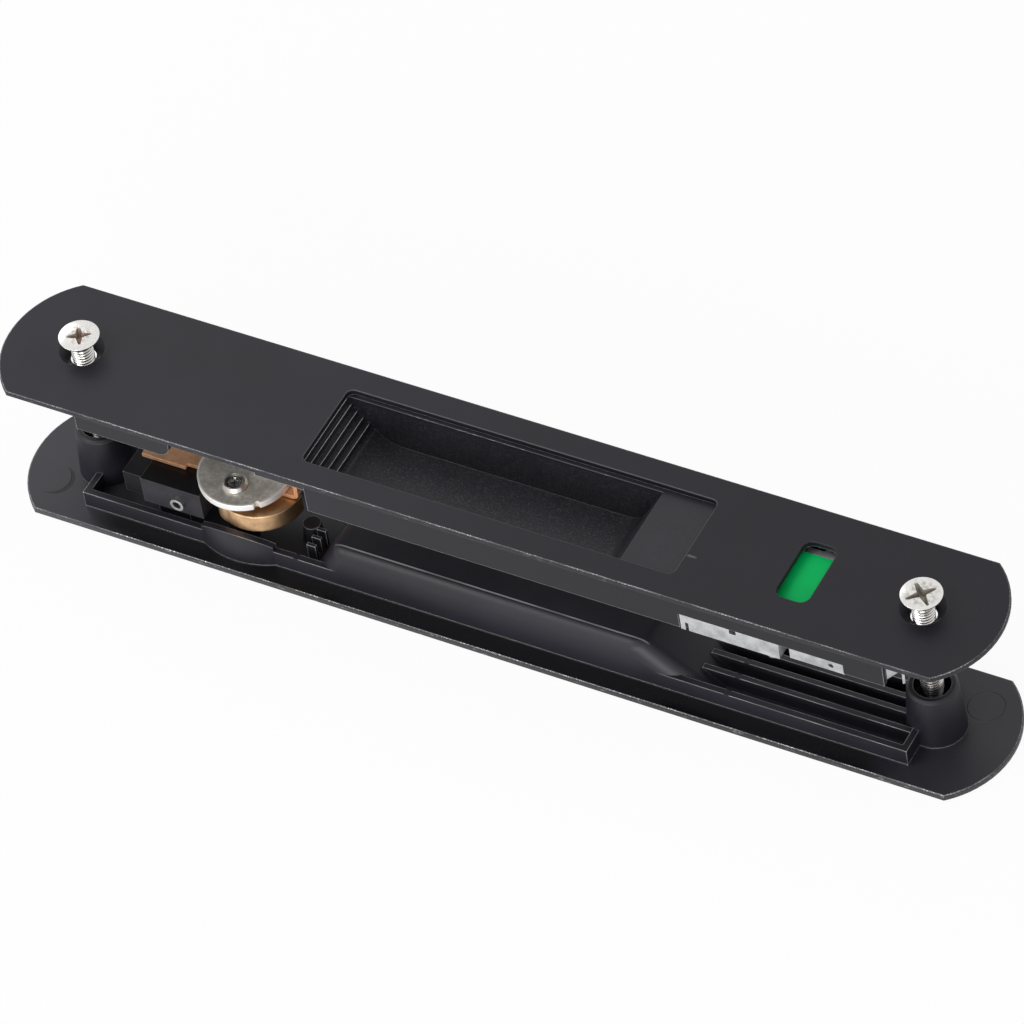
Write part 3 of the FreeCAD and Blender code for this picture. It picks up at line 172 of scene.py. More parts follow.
class Graph:
    """Node tree of a material or of the world, with one method that adds any node."""

    bevel_samples = 6
    edge_samples = 8

    def __init__(self, owner: bpy.types.Material | bpy.types.World) -> None:
        """Empty the owner's node tree.

        Args:
            owner: Material or world.
        """
        owner.use_nodes = True
        self.owner = owner
        self.tree = owner.node_tree
        self.tree.nodes.clear()

    def node(self, kind: str, settings: Entries = None, values: Entries = None) -> bpy.types.Node:
        """Add a node.

        Args:
            kind: Blender's name of the node type.
            settings: Properties of the node, set before its sockets.
            values: Numbers, colours or links for its inputs, by index or name; None is left out.

        Returns:
            The node.
        """
        made = self.tree.nodes.new(kind)
        for key, setting in (settings or {}).items():
            setattr(made, key, setting)
        for key, value in (values or {}).items():
            socket = made.inputs[key]
            if isinstance(value, (Value, bpy.types.NodeSocket)):
                self.tree.links.new(getattr(value, "socket", value), socket)
            elif isinstance(value, tuple) and socket.type == "RGBA":
                socket.default_value = (*value, 1.0)
            elif value is not None:
                socket.default_value = value
        return made

    def value(self, kind: str, settings: Entries = None, values: Entries = None,
              output: Any = 0) -> Value:
        """Add a node and take one of its outputs, by index or name."""
        return Value(self, self.node(kind, settings, values).outputs[output])

    @cached_property
    def spot(self) -> Value:
        """Object coordinates, added once."""
        return self.value("ShaderNodeTexCoord", output="Object")

    @cached_property
    def axes(self) -> tuple[Value, Value, Value]:
        """Object coordinates as three values, added once."""
        split = self.node("ShaderNodeSeparateXYZ", values={0: self.spot})
        return tuple(Value(self, output) for output in split.outputs)

    def away(self, x: float, y: float) -> Value:
        """Distance from the upright line through a point of the XY plane."""
        across, along, _ = self.axes
        return ((across - x) ** 2.0 + (along - y) ** 2.0).root()

    def noise(self, grain: Grain) -> Value:
        """Add noise between about 0.2 and 0.8, or over the pattern's own ramp.

        Args:
            grain: The pattern.

        Returns:
            The noise value.
        """
        scale = tuple(1.0 / part for part in grain.stretch)
        spot = self.value("ShaderNodeMapping", {"vector_type": "POINT"},
                          {0: self.spot, "Location": grain.shift, "Scale": scale})
        noise = self.value("ShaderNodeTexNoise", values={
            "Vector": spot, "Scale": 1.0 / grain.size, "Detail": grain.detail,
            "Roughness": grain.rough})
        return noise.between(*grain.ramp) if grain.ramp else noise

    def zone(self, zone: Zone) -> Value:
        """Mask that is 1 inside a soft box."""
        return reduce(mul, [self.axes[axis.value].between(start * MM, full * MM)
                            for axis, start, full in zone])

    def tint(self, colour: Value, mask: Value, tint: Tint) -> Value:
        """Lay a tint over a colour, as far as its mask goes."""
        return self.mix(mask * tint.share, colour, tint.colour)

    def mix(self, share: Any, first: Any, second: Any, kind: MixKind = MixKind.COLOUR) -> Value:
        """Blend from the first colour or vector, where the share is 0, to the second one."""
        name, low, high, output = kind.value
        return self.value("ShaderNodeMix", {"data_type": name},
                          {0: share, low: first, high: second}, output)

    def bump(self, height: Value, depth: float, under: Value | None = None) -> Value:
        """Turn a height pattern from 0 to 1 into a normal, over another one where there is one."""
        return self.value("ShaderNodeBump", values={
            "Strength": 1.0, "Distance": depth, "Height": height, "Normal": under})

    def rounded(self, radius: float) -> Value:
        """Normal that rounds sharp edges over a small radius."""
        return self.value("ShaderNodeBevel", {"samples": self.bevel_samples}, {"Radius": radius})

    def blend(self, share: Value, normal: Value) -> Value:
        """Fade from the plain normal to another one."""
        plain = self.node("ShaderNodeNewGeometry").outputs["Normal"]
        return self.mix(share, plain, normal, MixKind.VECTOR)

    def edge(self, reach: float) -> Value:
        """Mask that is 1 on convex edges and 0 further in than reach."""
        settings = {"inside": True, "only_local": True, "samples": self.edge_samples}
        return 1.0 - self.value("ShaderNodeAmbientOcclusion", settings, {"Distance": reach}, "AO")

    def white_ray(self) -> Value:
        """1 for rays from the camera, from a gloss and through glass, and 0 for the others."""
        outputs = self.node("ShaderNodeLightPath").outputs
        return reduce(Value.most, [Value(self, outputs[f"Is {kind} Ray"])
                                   for kind in ("Camera", "Glossy", "Transmission")])

    def surface(self, colour: Any, roughness: Any, metallic: Any = 0.0,
                normal: Value | None = None, specular: float = 0.5) -> None:
        """Close the tree with a principled shader; a specular of 0.5 is the usual gloss."""
        shader = self.node("ShaderNodeBsdfPrincipled", values={
            "Base Color": colour, "Roughness": roughness, "Metallic": metallic,
            "Specular IOR Level": specular, "Normal": normal})
        self.node("ShaderNodeOutputMaterial", values={"Surface": shader.outputs[0]})


@dataclass(frozen=True)
class Finish:
    """A procedural material, built once.

    A pair named ramp says where a pattern starts and where it is full, and a pair named span
    says the least and the most that it gives.
    """

    name: str

    @cached_property
    def graph(self) -> Graph:
        """Graph of the material, started once."""
        return Graph(bpy.data.materials.new(self.name))

    @cached_property
    def material(self) -> bpy.types.Material:
        """The material, built once."""
        self.build()
        return self.graph.owner

    def build(self) -> None:
        """Fill the graph, which every finish does in its own way."""


@dataclass
class Layers:
    """Channels of a black coat while its marks are laid on."""

    patches: Value
    colour: Value
    roughness: Value
    line: Value
    worn: Value
    dust: Value
    height: Value


@dataclass(frozen=True)
class BlackCoat(Finish):
    """Satin black coat on a zinc casting, worn along its edges, with a painted highlight line
    along them.
    """

    dark: Colour = (0.0085, 0.0078, 0.0125)
    light: Colour = (0.0135, 0.0125, 0.019)
    zinc: Tint = Tint((0.55, 0.55, 0.57), 0.85)
    zinc_metallic: float = 0.7
    # Painted highlight: a light grey line along the casting's convex edges.
    highlight_colour: Colour = (0.42, 0.42, 0.43)
    highlight_share: float = 0.9
    highlight_ramp: Pair = (0.2, 0.52)
    dust_colour: Colour = (0.16, 0.16, 0.165)
    dust_share: float = 0.08
    dust: Grain = Grain(0.34 * MM, 2.0, 0.6, shift=(3.1, 1.7, 0.4), ramp=(0.64, 0.74))
    cloud: Grain = Grain(22 * MM, 4.0, 0.55)
    cloud_ramp: Pair = (0.3, 0.7)
    patches: Grain = Grain(9 * MM, 2.0, 0.6, shift=(0.0, 7.0, 2.0), ramp=(0.35, 0.62))
    wear: Grain = Grain(0.9 * MM, 3.0, 0.7, shift=(1.3, 0.2, 5.0))
    wear_floor: float = 0.35
    wear_ramp: Pair = (0.42, 0.66)
    wear_gain: float = 1.5
    peel: Grain = Grain(0.55 * MM, 2.0)
    peel_depth: float = 0.006 * MM
    edge_reach: float = 0.28 * MM
    round_off: float = 0.3 * MM
    roughness: float = 0.36
    specular: float = 0.4
    shades: tuple[Tint, ...] = ()

    def outline(self) -> tuple[Value, Value]:
        """Mask of the casting's edges, and the normal that rounds them."""
        return self.graph.edge(self.edge_reach), self.graph.rounded(self.round_off)

    def shade(self, layers: Layers) -> None:
        """Change the painted highlight lines, the wear and the dust; a plain coat needs nothing.
        """

    def mark(self, layers: Layers) -> None:
        """Lay marks over the dusty coat; a plain one has none."""

    def build(self) -> None:
        """Fill the graph."""
        graph = self.graph
        cloud, dust, patches = (graph.noise(g) for g in (self.cloud, self.dust, self.patches))
        edge, normal = self.outline()
        wear = edge * self.wear_gain * graph.noise(self.wear) * (patches + self.wear_floor)
        layers = Layers(
            patches=patches,
            colour=graph.mix(cloud.between(*self.cloud_ramp), self.dark, self.light),
            roughness=cloud * 0.16 + self.roughness + dust * 0.15,
            line=edge.between(*self.highlight_ramp) * self.highlight_share,
            worn=wear.between(*self.wear_ramp),
            dust=dust * self.dust_share,
            height=graph.noise(self.peel),
        )
        for tint in self.shades:
            layers.colour = graph.tint(layers.colour, graph.zone(tint.zone), tint)
            layers.roughness = layers.roughness - graph.zone(tint.zone) * tint.gloss
        self.shade(layers)
        # Painted highlight along the convex edges.
        layers.colour = graph.mix(layers.line, layers.colour, self.highlight_colour)
        layers.colour = graph.mix(layers.dust, layers.colour, self.dust_colour)
        self.mark(layers)
        colour = graph.tint(layers.colour, layers.worn, self.zinc)
        normal = graph.bump(layers.height, self.peel_depth, normal)
        metallic = layers.worn * self.zinc_metallic
        graph.surface(colour, layers.roughness, metallic, normal, self.specular)


@dataclass(frozen=True)
class TrayCoat(BlackCoat):
    """Black coat on the tray and the cup's back, which are one casting with the rear cover."""

    seams: Pair = (-47.0 * MM, 58.4 * MM)
    seam_ramp: Pair = (0.3 * MM, 0.7 * MM)
    above_plate: Zone = ((Axis.Z, 2.1, 2.4),)
    inner: Zone = ((Axis.X, -53, -51), (Axis.X, -41, -43), (Axis.Y, -11, -10.4))
    inner_share: float = 0.8
    highlight_span: Pair = (0.45, 1.0)
    # Painted highlight along the crown of the cup's back.
    crest: Zone = ((Axis.Z, 11.6, 12.2), (Axis.X, -39, -34), (Axis.X, 44, 34))
    crest_y: float = -9.8 * MM
    crest_ramp: Pair = (0.24 * MM, 0.08 * MM)
    crest_span: Pair = (0.35, 0.6)

    def outline(self) -> tuple[Value, Value]:
        """Leave the seams out, where two nodes of the one casting meet.

        Returns:
            Mask of the casting's edges, and the normal that rounds them.
        """
        graph = self.graph
        edge, normal = super().outline()
        seam, other = (abs(graph.axes[0] - x) for x in self.seams)
        whole = seam.least(other).between(*self.seam_ramp) * graph.zone(self.above_plate)
        return edge * whole, graph.blend(whole, normal)

    def shade(self, layers: Layers) -> None:
        """Spare the post and bars beside the hook from highlight lines and wear, and paint a
        highlight line along the crown of the cup's back.

        Args:
            layers: Channels of the coat.
        """
        spared = 1.0 - self.graph.zone(self.inner) * self.inner_share
        line = layers.line * spared * layers.patches.span(*self.highlight_span)
        # Painted highlight: a light line along the crown, over the edge highlight lines.
        crest = abs(self.graph.axes[1] - self.crest_y).between(*self.crest_ramp)
        crest = crest * self.graph.zone(self.crest) * layers.patches.span(*self.crest_span)
        layers.line = line.most(crest)
        layers.worn = layers.worn * spared


@dataclass(frozen=True)
class CupCoat(BlackCoat):
    """Black coat on the finger cup, with painted highlights on the stair edges and a dusty floor.
    """

    # Painted highlight: near-white lines on the stair edges.
    highlight_colour: Colour = (0.9, 0.9, 0.92)
    stairs: Zone = ((Axis.X, -27, -29), (Axis.Y, 9.8, 9.2))
    stairs_span: Pair = (0.12, 1.0)
    floor: Zone = ((Axis.Z, 38, 36),)
    floor_dust: Grain = Grain(0.3 * MM, 2.0, 0.7, shift=(3.1, 1.7, 0.4), ramp=(0.52, 0.66))
    floor_span: Pair = (0.05, 0.29)

    def shade(self, layers: Layers) -> None:
        """Keep the painted highlight lines to the stairs and let dust lie on the floor."""
        layers.line = layers.line * self.graph.zone(self.stairs).span(*self.stairs_span)
        layers.dust = self.graph.noise(self.floor_dust) * self.graph.zone(
            self.floor).span(*self.floor_span)


@dataclass(frozen=True)
class CoverCoat(BlackCoat):
    """Black coat on a cover plate, whose rim is worn bright and partly painted as a highlight, and
    whose side is lightened as painted light.
    """

    half_width: float = 17.3 * MM
    half_length: float = 120.0 * MM
    end_radius: float = 22.0 * MM
    rim_inner_ramp: Pair = (0.42 * MM, 0.26 * MM)
    rim_outer_ramp: Pair = (0.1 * MM, 0.2 * MM)
    rim_span: Pair = (0.3, 1.0)
    rim_wear: float = 0.25
    speck: Grain = Grain(0.28 * MM, 2.0, 0.7, shift=(2.0, 2.0, 1.0), ramp=(0.52, 0.64))
    speck_span: Pair = (0.25, 1.2)
    scuff: Grain = Grain(0.5 * MM, 3.0, 0.7, (5.0, 1.0, 1.0), (9.0, 2.0, 1.0), (0.6, 0.7))
    scuff_share: float = 0.5
    side_ramp: Pair = (0.14 * MM, 0.06 * MM)
    # Painted light: the plate's side face lightened to grey, stronger towards the left end where
    # side_gain is set.
    side_colour: Colour = (0.08, 0.08, 0.084)
    side_zone: Zone = ((Axis.X, 60, -60),)
    side_floor: float = 0.14
    side_gain: float = 0.26

    def mark(self, layers: Layers) -> None:
        """Wear the rim of the plate, a bright line that is partly a painted highlight, and grey
        its side as painted light.

        Args:
            layers: Channels of the coat.
        """
        graph = self.graph
        x, y, _ = graph.axes
        along = (abs(x) - (self.half_length - self.end_radius)).most(0.0)
        round_end = self.end_radius - (along * along + y * y).root()
        inside = (self.half_width - abs(y)).least(round_end)
        rim = inside.between(*self.rim_inner_ramp) * inside.between(*self.rim_outer_ramp)
        side = inside.between(*self.side_ramp)
        # Painted light on the plate's side.
        grey = side * (graph.zone(self.side_zone) * self.side_gain + self.side_floor)
        layers.colour = graph.mix(grey, layers.colour, self.side_colour)
        speck = graph.noise(self.speck).span(*self.speck_span)
        # Partly painted highlight: a speckled bright line along the rim, laid on as wear.
        bright = rim * speck * layers.patches.span(*self.rim_span)
        scuffed = side * graph.noise(self.scuff) * self.scuff_share
        layers.worn = (layers.worn * self.rim_wear).most(bright).most(scuffed)


@dataclass(frozen=True)
class FrontCoat(CoverCoat):
    """Black coat on the front cover, with painted shade that darkens it to the right, worn and
    nicked at its window.
    """

    specular: float = 0.33
    scuff_share: float = 0.15
    side_floor: float = 0.12
    side_gain: float = 0.0
    # Painted shade: the cover darkens towards the right end.
    shades: tuple[Tint, ...] = (Tint((0.001, 0.0006, 0.0045), 0.8, ((Axis.X, -80, 60),)),)
    face: Zone = ((Axis.Z, 39.5, 39.65),)
    nick: Pair = (50.3 * MM, -4.9 * MM)
    nick_wave: Grain = Grain(0.6 * MM, 2.0, 0.6, shift=(4.0, 2.0, 8.0))
    nick_sway: float = 0.3 * MM
    nick_width_ramp: Pair = (0.45 * MM, 0.05 * MM)
    nick_length_ramp: Pair = (1.5 * MM, 0.5 * MM)
    nick_share: float = 0.2
    window_ends: Pair = (-41.0 * MM, 48.8 * MM)
    window_half_width: float = 11.1 * MM
    window_corner: float = 1.6 * MM
    window_gap: float = 0.06 * MM
    window_ramp: Pair = (0.2 * MM, 0.06 * MM)
    window_share: float = 0.12

    def window_line(self) -> Value:
        """Draw a thin worn line round the large window, a box with round corners.

        Returns:
            Mask of the line.
        """
        x, y, _ = self.graph.axes
        left, right = self.window_ends
        over_x = abs(x - (left + right) / 2) - ((right - left) / 2 - self.window_corner)
        over_y = abs(y) - (self.window_half_width - self.window_corner)
        out_x, out_y = over_x.most(0.0), over_y.most(0.0)
        corner = (out_x * out_x + out_y * out_y).root()
        gap = corner + over_x.most(over_y).least(0.0) - self.window_corner
        return abs(gap - self.window_gap).between(*self.window_ramp)

    def mark(self, layers: Layers) -> None:
        """Wear the rim and the window, and add the small bright nick beside it.

        Args:
            layers: Channels of the coat.
        """
        super().mark(layers)
        face = self.graph.zone(self.face)
        x, y, _ = self.graph.axes
        wave = self.graph.noise(self.nick_wave) * self.nick_sway
        across = abs(y - self.nick[1] + wave).between(*self.nick_width_ramp)
        nick = across * abs(x - self.nick[0]).between(*self.nick_length_ramp)
        nick = nick * self.nick_share * face
        line = self.window_line() * self.window_share * face
        layers.worn = layers.worn.most(nick).most(line)


@dataclass(frozen=True)
class RearCoat(CoverCoat):
    """Black coat on the rear cover, with painted light on its ends, painted shade on a near strip,
    and the mould's marks.
    """

    shades: tuple[Tint, ...] = (
        # Painted light: the left and right ends lightened.
        Tint((0.03, 0.029, 0.037), 1.0, ((Axis.X, -88, -102),)),
        Tint((0.02, 0.0195, 0.025), 1.0, ((Axis.X, 96, 104),)),
        # Painted shade: a dark, glossier strip along the near side between the tray and the edge.
        Tint((0.0015, 0.0015, 0.002), 0.85,
             ((Axis.Y, -11, -12.5), (Axis.X, -100, -90), (Axis.X, 100, 90)), gloss=0.16),
    )
    ring: float = 4.1 * MM
    ring_ramp: Pair = (0.16 * MM, 0.04 * MM)
    circle: Pair = (109.5 * MM, 8.5 * MM)
    # Painted shadow: the crescent beside the left ejector pin mark.
    crescent_shadow: Pair = (-111.0 * MM, -8.0 * MM)
    crescent_cut: Pair = (-112.1 * MM, -7.8 * MM)
    crescent_soft: Pair = (0.1 * MM, 0.15 * MM)
    inner_face: Zone = ((Axis.Z, 1.2, 1.6), (Axis.Z, 2.2, 1.8))
    # Dark colour of the circle line, and painted shadow in the crescent.
    ejector_line_and_shadow: Tint = Tint((0.001, 0.001, 0.0012), 0.9)
    pressed_depth: float = 18.0

    def mark(self, layers: Layers) -> None:
        """Wear the rim, and press in the mould's two ejector pin marks: a dark circle line, and a
        crescent that is a painted shadow.

        Args:
            layers: Channels of the coat.
        """
        super().mark(layers)
        graph = self.graph
        outer, inner = self.crescent_soft
        crescent_shadow = graph.away(*self.crescent_shadow).between(self.ring + outer, self.ring)
        crescent_shadow = crescent_shadow * graph.away(*self.crescent_cut).between(self.ring, self.ring + inner)
        circle = abs(graph.away(*self.circle) - self.ring).between(*self.ring_ramp)
        marks = circle.most(crescent_shadow) * graph.zone(self.inner_face)
        # Dark circle line, and painted shadow in the crescent.
        layers.colour = graph.tint(layers.colour, marks, self.ejector_line_and_shadow)
        layers.height = layers.height - marks * self.pressed_depth


@dataclass(frozen=True)
class Metal(Finish):
    """Bare or plated metal with soft blotches, fine scratches and stains."""

    colour: Colour
    stain: Colour = (0.16, 0.09, 0.045)
    roughness: float = 0.3
    metallic: float = 1.0
    stained: float = 0.0
    speckled: float = 0.0
    pitted: float = 0.0
    round_off: float = 0.15 * MM
    shaded: Zone = ()
    shaded_share: float = 0.8
    rim: Triple | None = None
    rim_colour: Colour = (0.97, 0.96, 0.94)
    rim_ramp: Pair = (0.6 * MM, 0.35 * MM)
    rim_span: Pair = (0.7, 1.2)
    cloud: Grain = Grain(4 * MM, 4.0, 0.6)
    cloud_ramp: Pair = (0.3, 0.72)
    scratches: Grain = Grain(0.25 * MM, 3.0, 0.65)
    scratch_depth: float = 0.004 * MM
    spread: Grain = Grain(2.6 * MM, 4.0, 0.65, shift=(5.0, 1.0, 2.0))
    specks: Grain = Grain(0.9 * MM, 4.0, 0.7, shift=(2.0, 6.0, 1.0), ramp=(0.42, 0.62))
    pits: Grain = Grain(0.5 * MM, 2.0, 0.6, shift=(0.0, 4.0, 9.0), ramp=(0.66, 0.72))
    edge_reach: float = 0.3 * MM
    edge_ramp: Pair = (0.15, 0.75)
    edge_share: float = 0.6
    darker: float = 0.62
    brighter: float = 1.25

    def build(self) -> None:
        """Fill the graph."""
        graph = self.graph
        cloud, scratch = graph.noise(self.cloud), graph.noise(self.scratches)
        start, full = 0.66 - 0.3 * self.stained, 0.8 - 0.25 * self.stained
        stain = graph.noise(self.spread).between(start, full) * min(1.0, self.stained * 1.6)
        pits = graph.noise(self.pits) * self.pitted
        edge = graph.edge(self.edge_reach).between(*self.edge_ramp)
        blotches = cloud.between(*self.cloud_ramp)
        colour = graph.mix(blotches, self.colour, scaled(self.colour, self.darker))
        colour = graph.mix(edge * self.edge_share, colour, scaled(self.colour, self.brighter))
        if self.speckled:
            specks = graph.noise(self.specks) * self.speckled
            colour = graph.mix(specks * (1.0 - edge * 0.8), colour, self.stain)
        darkened = (stain * (1.0 - edge * 0.7)).most(pits * 0.7)
        colour = graph.mix(darkened, colour, self.stain)
        # Painted shade: the stain colour laid over the given zone.
        if self.shaded:
            colour = graph.mix(graph.zone(self.shaded) * self.shaded_share, colour, self.stain)
        if self.rim:
            x, y, radius = self.rim
            start, full = self.rim_ramp
            rim = graph.away(x, y).between(radius - start, radius - full)
            colour = graph.mix(rim * scratch.span(*self.rim_span), colour, self.rim_colour)
        roughness = cloud * 0.12 + self.roughness + stain * 0.3 + scratch * 0.08
        metallic = self.metallic - stain * 0.75 * self.metallic
        height = scratch + pits * 2.0
        normal = graph.bump(height, self.scratch_depth, graph.rounded(self.round_off))
        graph.surface(colour, roughness, metallic, normal)


@dataclass(frozen=True)
class Enamel(Finish):
    """Plain colour label with a soft gloss."""

    colour: Colour
    darker: float = 0.86
    cloud: Grain = Grain(3 * MM)
    grain: Grain = Grain(0.2 * MM, 2.0)
    grain_depth: float = 0.002 * MM
    roughness_span: Pair = (0.3, 0.4)
    specular: float = 0.12

    def build(self) -> None:
        """Fill the graph."""
        graph = self.graph
        colour = graph.mix(graph.noise(self.cloud), self.colour, scaled(self.colour, self.darker))
        grain = graph.noise(self.grain)
        graph.surface(colour, grain.span(*self.roughness_span), 0.0,
                      graph.bump(grain, self.grain_depth), self.specular)


@dataclass(frozen=True)
class Moulding(Finish):
    """Matt black moulded plastic with a fine grain, painted shade on its upper faces and painted
    highlights on its edges.
    """

    colour: Colour = (0.022, 0.0215, 0.026)
    lighter: float = 1.5
    cloud: Grain = Grain(5 * MM, ramp=(0.35, 0.7))
    grain: Grain = Grain(0.22 * MM, 2.0, 0.6)
    grain_depth: float = 0.006 * MM
    dust: Grain = Grain(0.7 * MM, 3.0, 0.6, shift=(2.0, 0.0, 0.0), ramp=(0.6, 0.75))
    dusty: Tint = Tint((0.12, 0.115, 0.11), 0.25)
    # Painted shade: the top face and the step darkened.
    top: Zone = ((Axis.Z, 15.4, 15.6),)
    step: Zone = ((Axis.X, -85.4, -85.6),)
    step_share: float = 0.8
    shaded: Tint = Tint((0.0008, 0.0008, 0.001), 0.95)
    edge_reach: float = 0.3 * MM
    edge_ramp: Pair = (0.25, 0.6)
    # Painted highlight: lighter grey on the edges.
    edge_highlight: Tint = Tint((0.16, 0.16, 0.165), 0.7)
    round_off: float = 0.2 * MM
    roughness_span: Pair = (0.42, 0.52)
    specular: float = 0.16

    def build(self) -> None:
        """Fill the graph."""
        graph = self.graph
        grain = graph.noise(self.grain)
        colour = graph.mix(graph.noise(self.cloud), self.colour, scaled(self.colour, self.lighter))
        colour = graph.tint(colour, graph.noise(self.dust), self.dusty)
        # Painted shade on the upper faces, then painted highlights on the edges.
        upper = graph.zone(self.top).most(graph.zone(self.step) * self.step_share)
        colour = graph.tint(colour, upper, self.shaded)
        edge = graph.edge(self.edge_reach).between(*self.edge_ramp)
        colour = graph.tint(colour, edge, self.edge_highlight)
        normal = graph.bump(grain, self.grain_depth, graph.rounded(self.round_off))
        roughness = grain.span(*self.roughness_span)
        graph.surface(colour, roughness, 0.0, normal, self.specular)


@dataclass(frozen=True)
class NickelScrew(Finish):
    """Bright nickel plate on a screw, darker and browner in its recess and at its mouth, with
    painted shade on its shank.

    A pair named depth is a ramp of depths below the top of the head.
    """

    centre: Pair
    recess: float
    top: float
    colour: Colour = (0.8, 0.785, 0.76)
    recess_tint: Colour = (0.2, 0.165, 0.11)
    mouth: float = 0.5
    mouth_reach: Pair = (1.25, 0.7)
    mouth_depth: Pair = (1.2 * MM, 0.9 * MM)
    recess_reach: float = 1.1
    recess_depth: Pair = (0.06 * MM, 0.5 * MM)
    floor_depth: Pair = (1.9 * MM, 1.7 * MM)
    darkening_span: Pair = (0.55, 1.15)
    blot: Grain = Grain(1.1 * MM, 3.0, 0.6)
    blot_ramp: Pair = (0.45, 0.62)
    fine: Grain = Grain(0.18 * MM, 3.0, 0.6)
    fine_ramp: Pair = (0.35, 0.7)
    fine_depth: float = 0.0015 * MM
    # Painted shade: the shank darkened, its thread grooves darker still, and the screw darker
    # towards the bottom.
    dull_tone_and_shade: Tint = Tint((0.66, 0.65, 0.63), 0.85)
    shank_depth: Pair = (1.1 * MM, 2.2 * MM)
    groove_shade: Tint = Tint((0.05, 0.048, 0.045), 0.85)
    groove_ramp: Pair = (2.4 * MM, 2.1 * MM)
    shaded: Tint = Tint((0.02, 0.02, 0.02), 0.9, ((Axis.Z, 17.5, 15.5),))
    round_off: float = 0.08 * MM

    def below(self, depth: Pair) -> Value:
        """Ramp over two depths below the top of the head."""
        return self.graph.axes[2].between(self.top - depth[0], self.top - depth[1])

    def build(self) -> None:
        """Fill the graph."""
        graph = self.graph
        out, fine = graph.away(*self.centre), graph.noise(self.fine)
        blot, shank = graph.noise(self.blot), self.below(self.shank_depth)
        sunk = out.between(self.recess * self.recess_reach, self.recess)
        sunk = self.below(self.recess_depth) * sunk * self.below(self.floor_depth)
        outer, inner = self.mouth_reach
        mouth = out.between(self.recess * outer, self.recess * inner) * self.mouth
        mouth = mouth * blot.between(*self.blot_ramp) * self.below(self.mouth_depth)
        darkened = (sunk * blot.span(*self.darkening_span)).most(mouth)
        colour = graph.mix(fine.between(*self.fine_ramp), self.colour, self.dull_tone_and_shade.colour)
        # Painted shade on the shank, its thread grooves and the lower part.
        colour = graph.tint(colour, shank, self.dull_tone_and_shade)
        colour = graph.tint(colour, shank * out.between(*self.groove_ramp), self.groove_shade)
        colour = graph.tint(colour, graph.zone(self.shaded.zone), self.shaded)
        # Darker, browner colour over the recess floor and in blotches at its mouth.
        colour = graph.mix(darkened, colour, self.recess_tint)
        normal = graph.bump(fine, self.fine_depth, graph.rounded(self.round_off))
        roughness = fine * 0.1 + 0.16 + darkened * 0.4
        graph.surface(colour, roughness, 1.0 - darkened * 0.7, normal)


@dataclass(frozen=True)
class Cross:
    """Cross recess; reach is half its length, turn is in degrees, tip narrows an arm's end."""

    reach: float
    arm: float
    depth: float
    turn: float = 0.0
    tip: float = 1.0


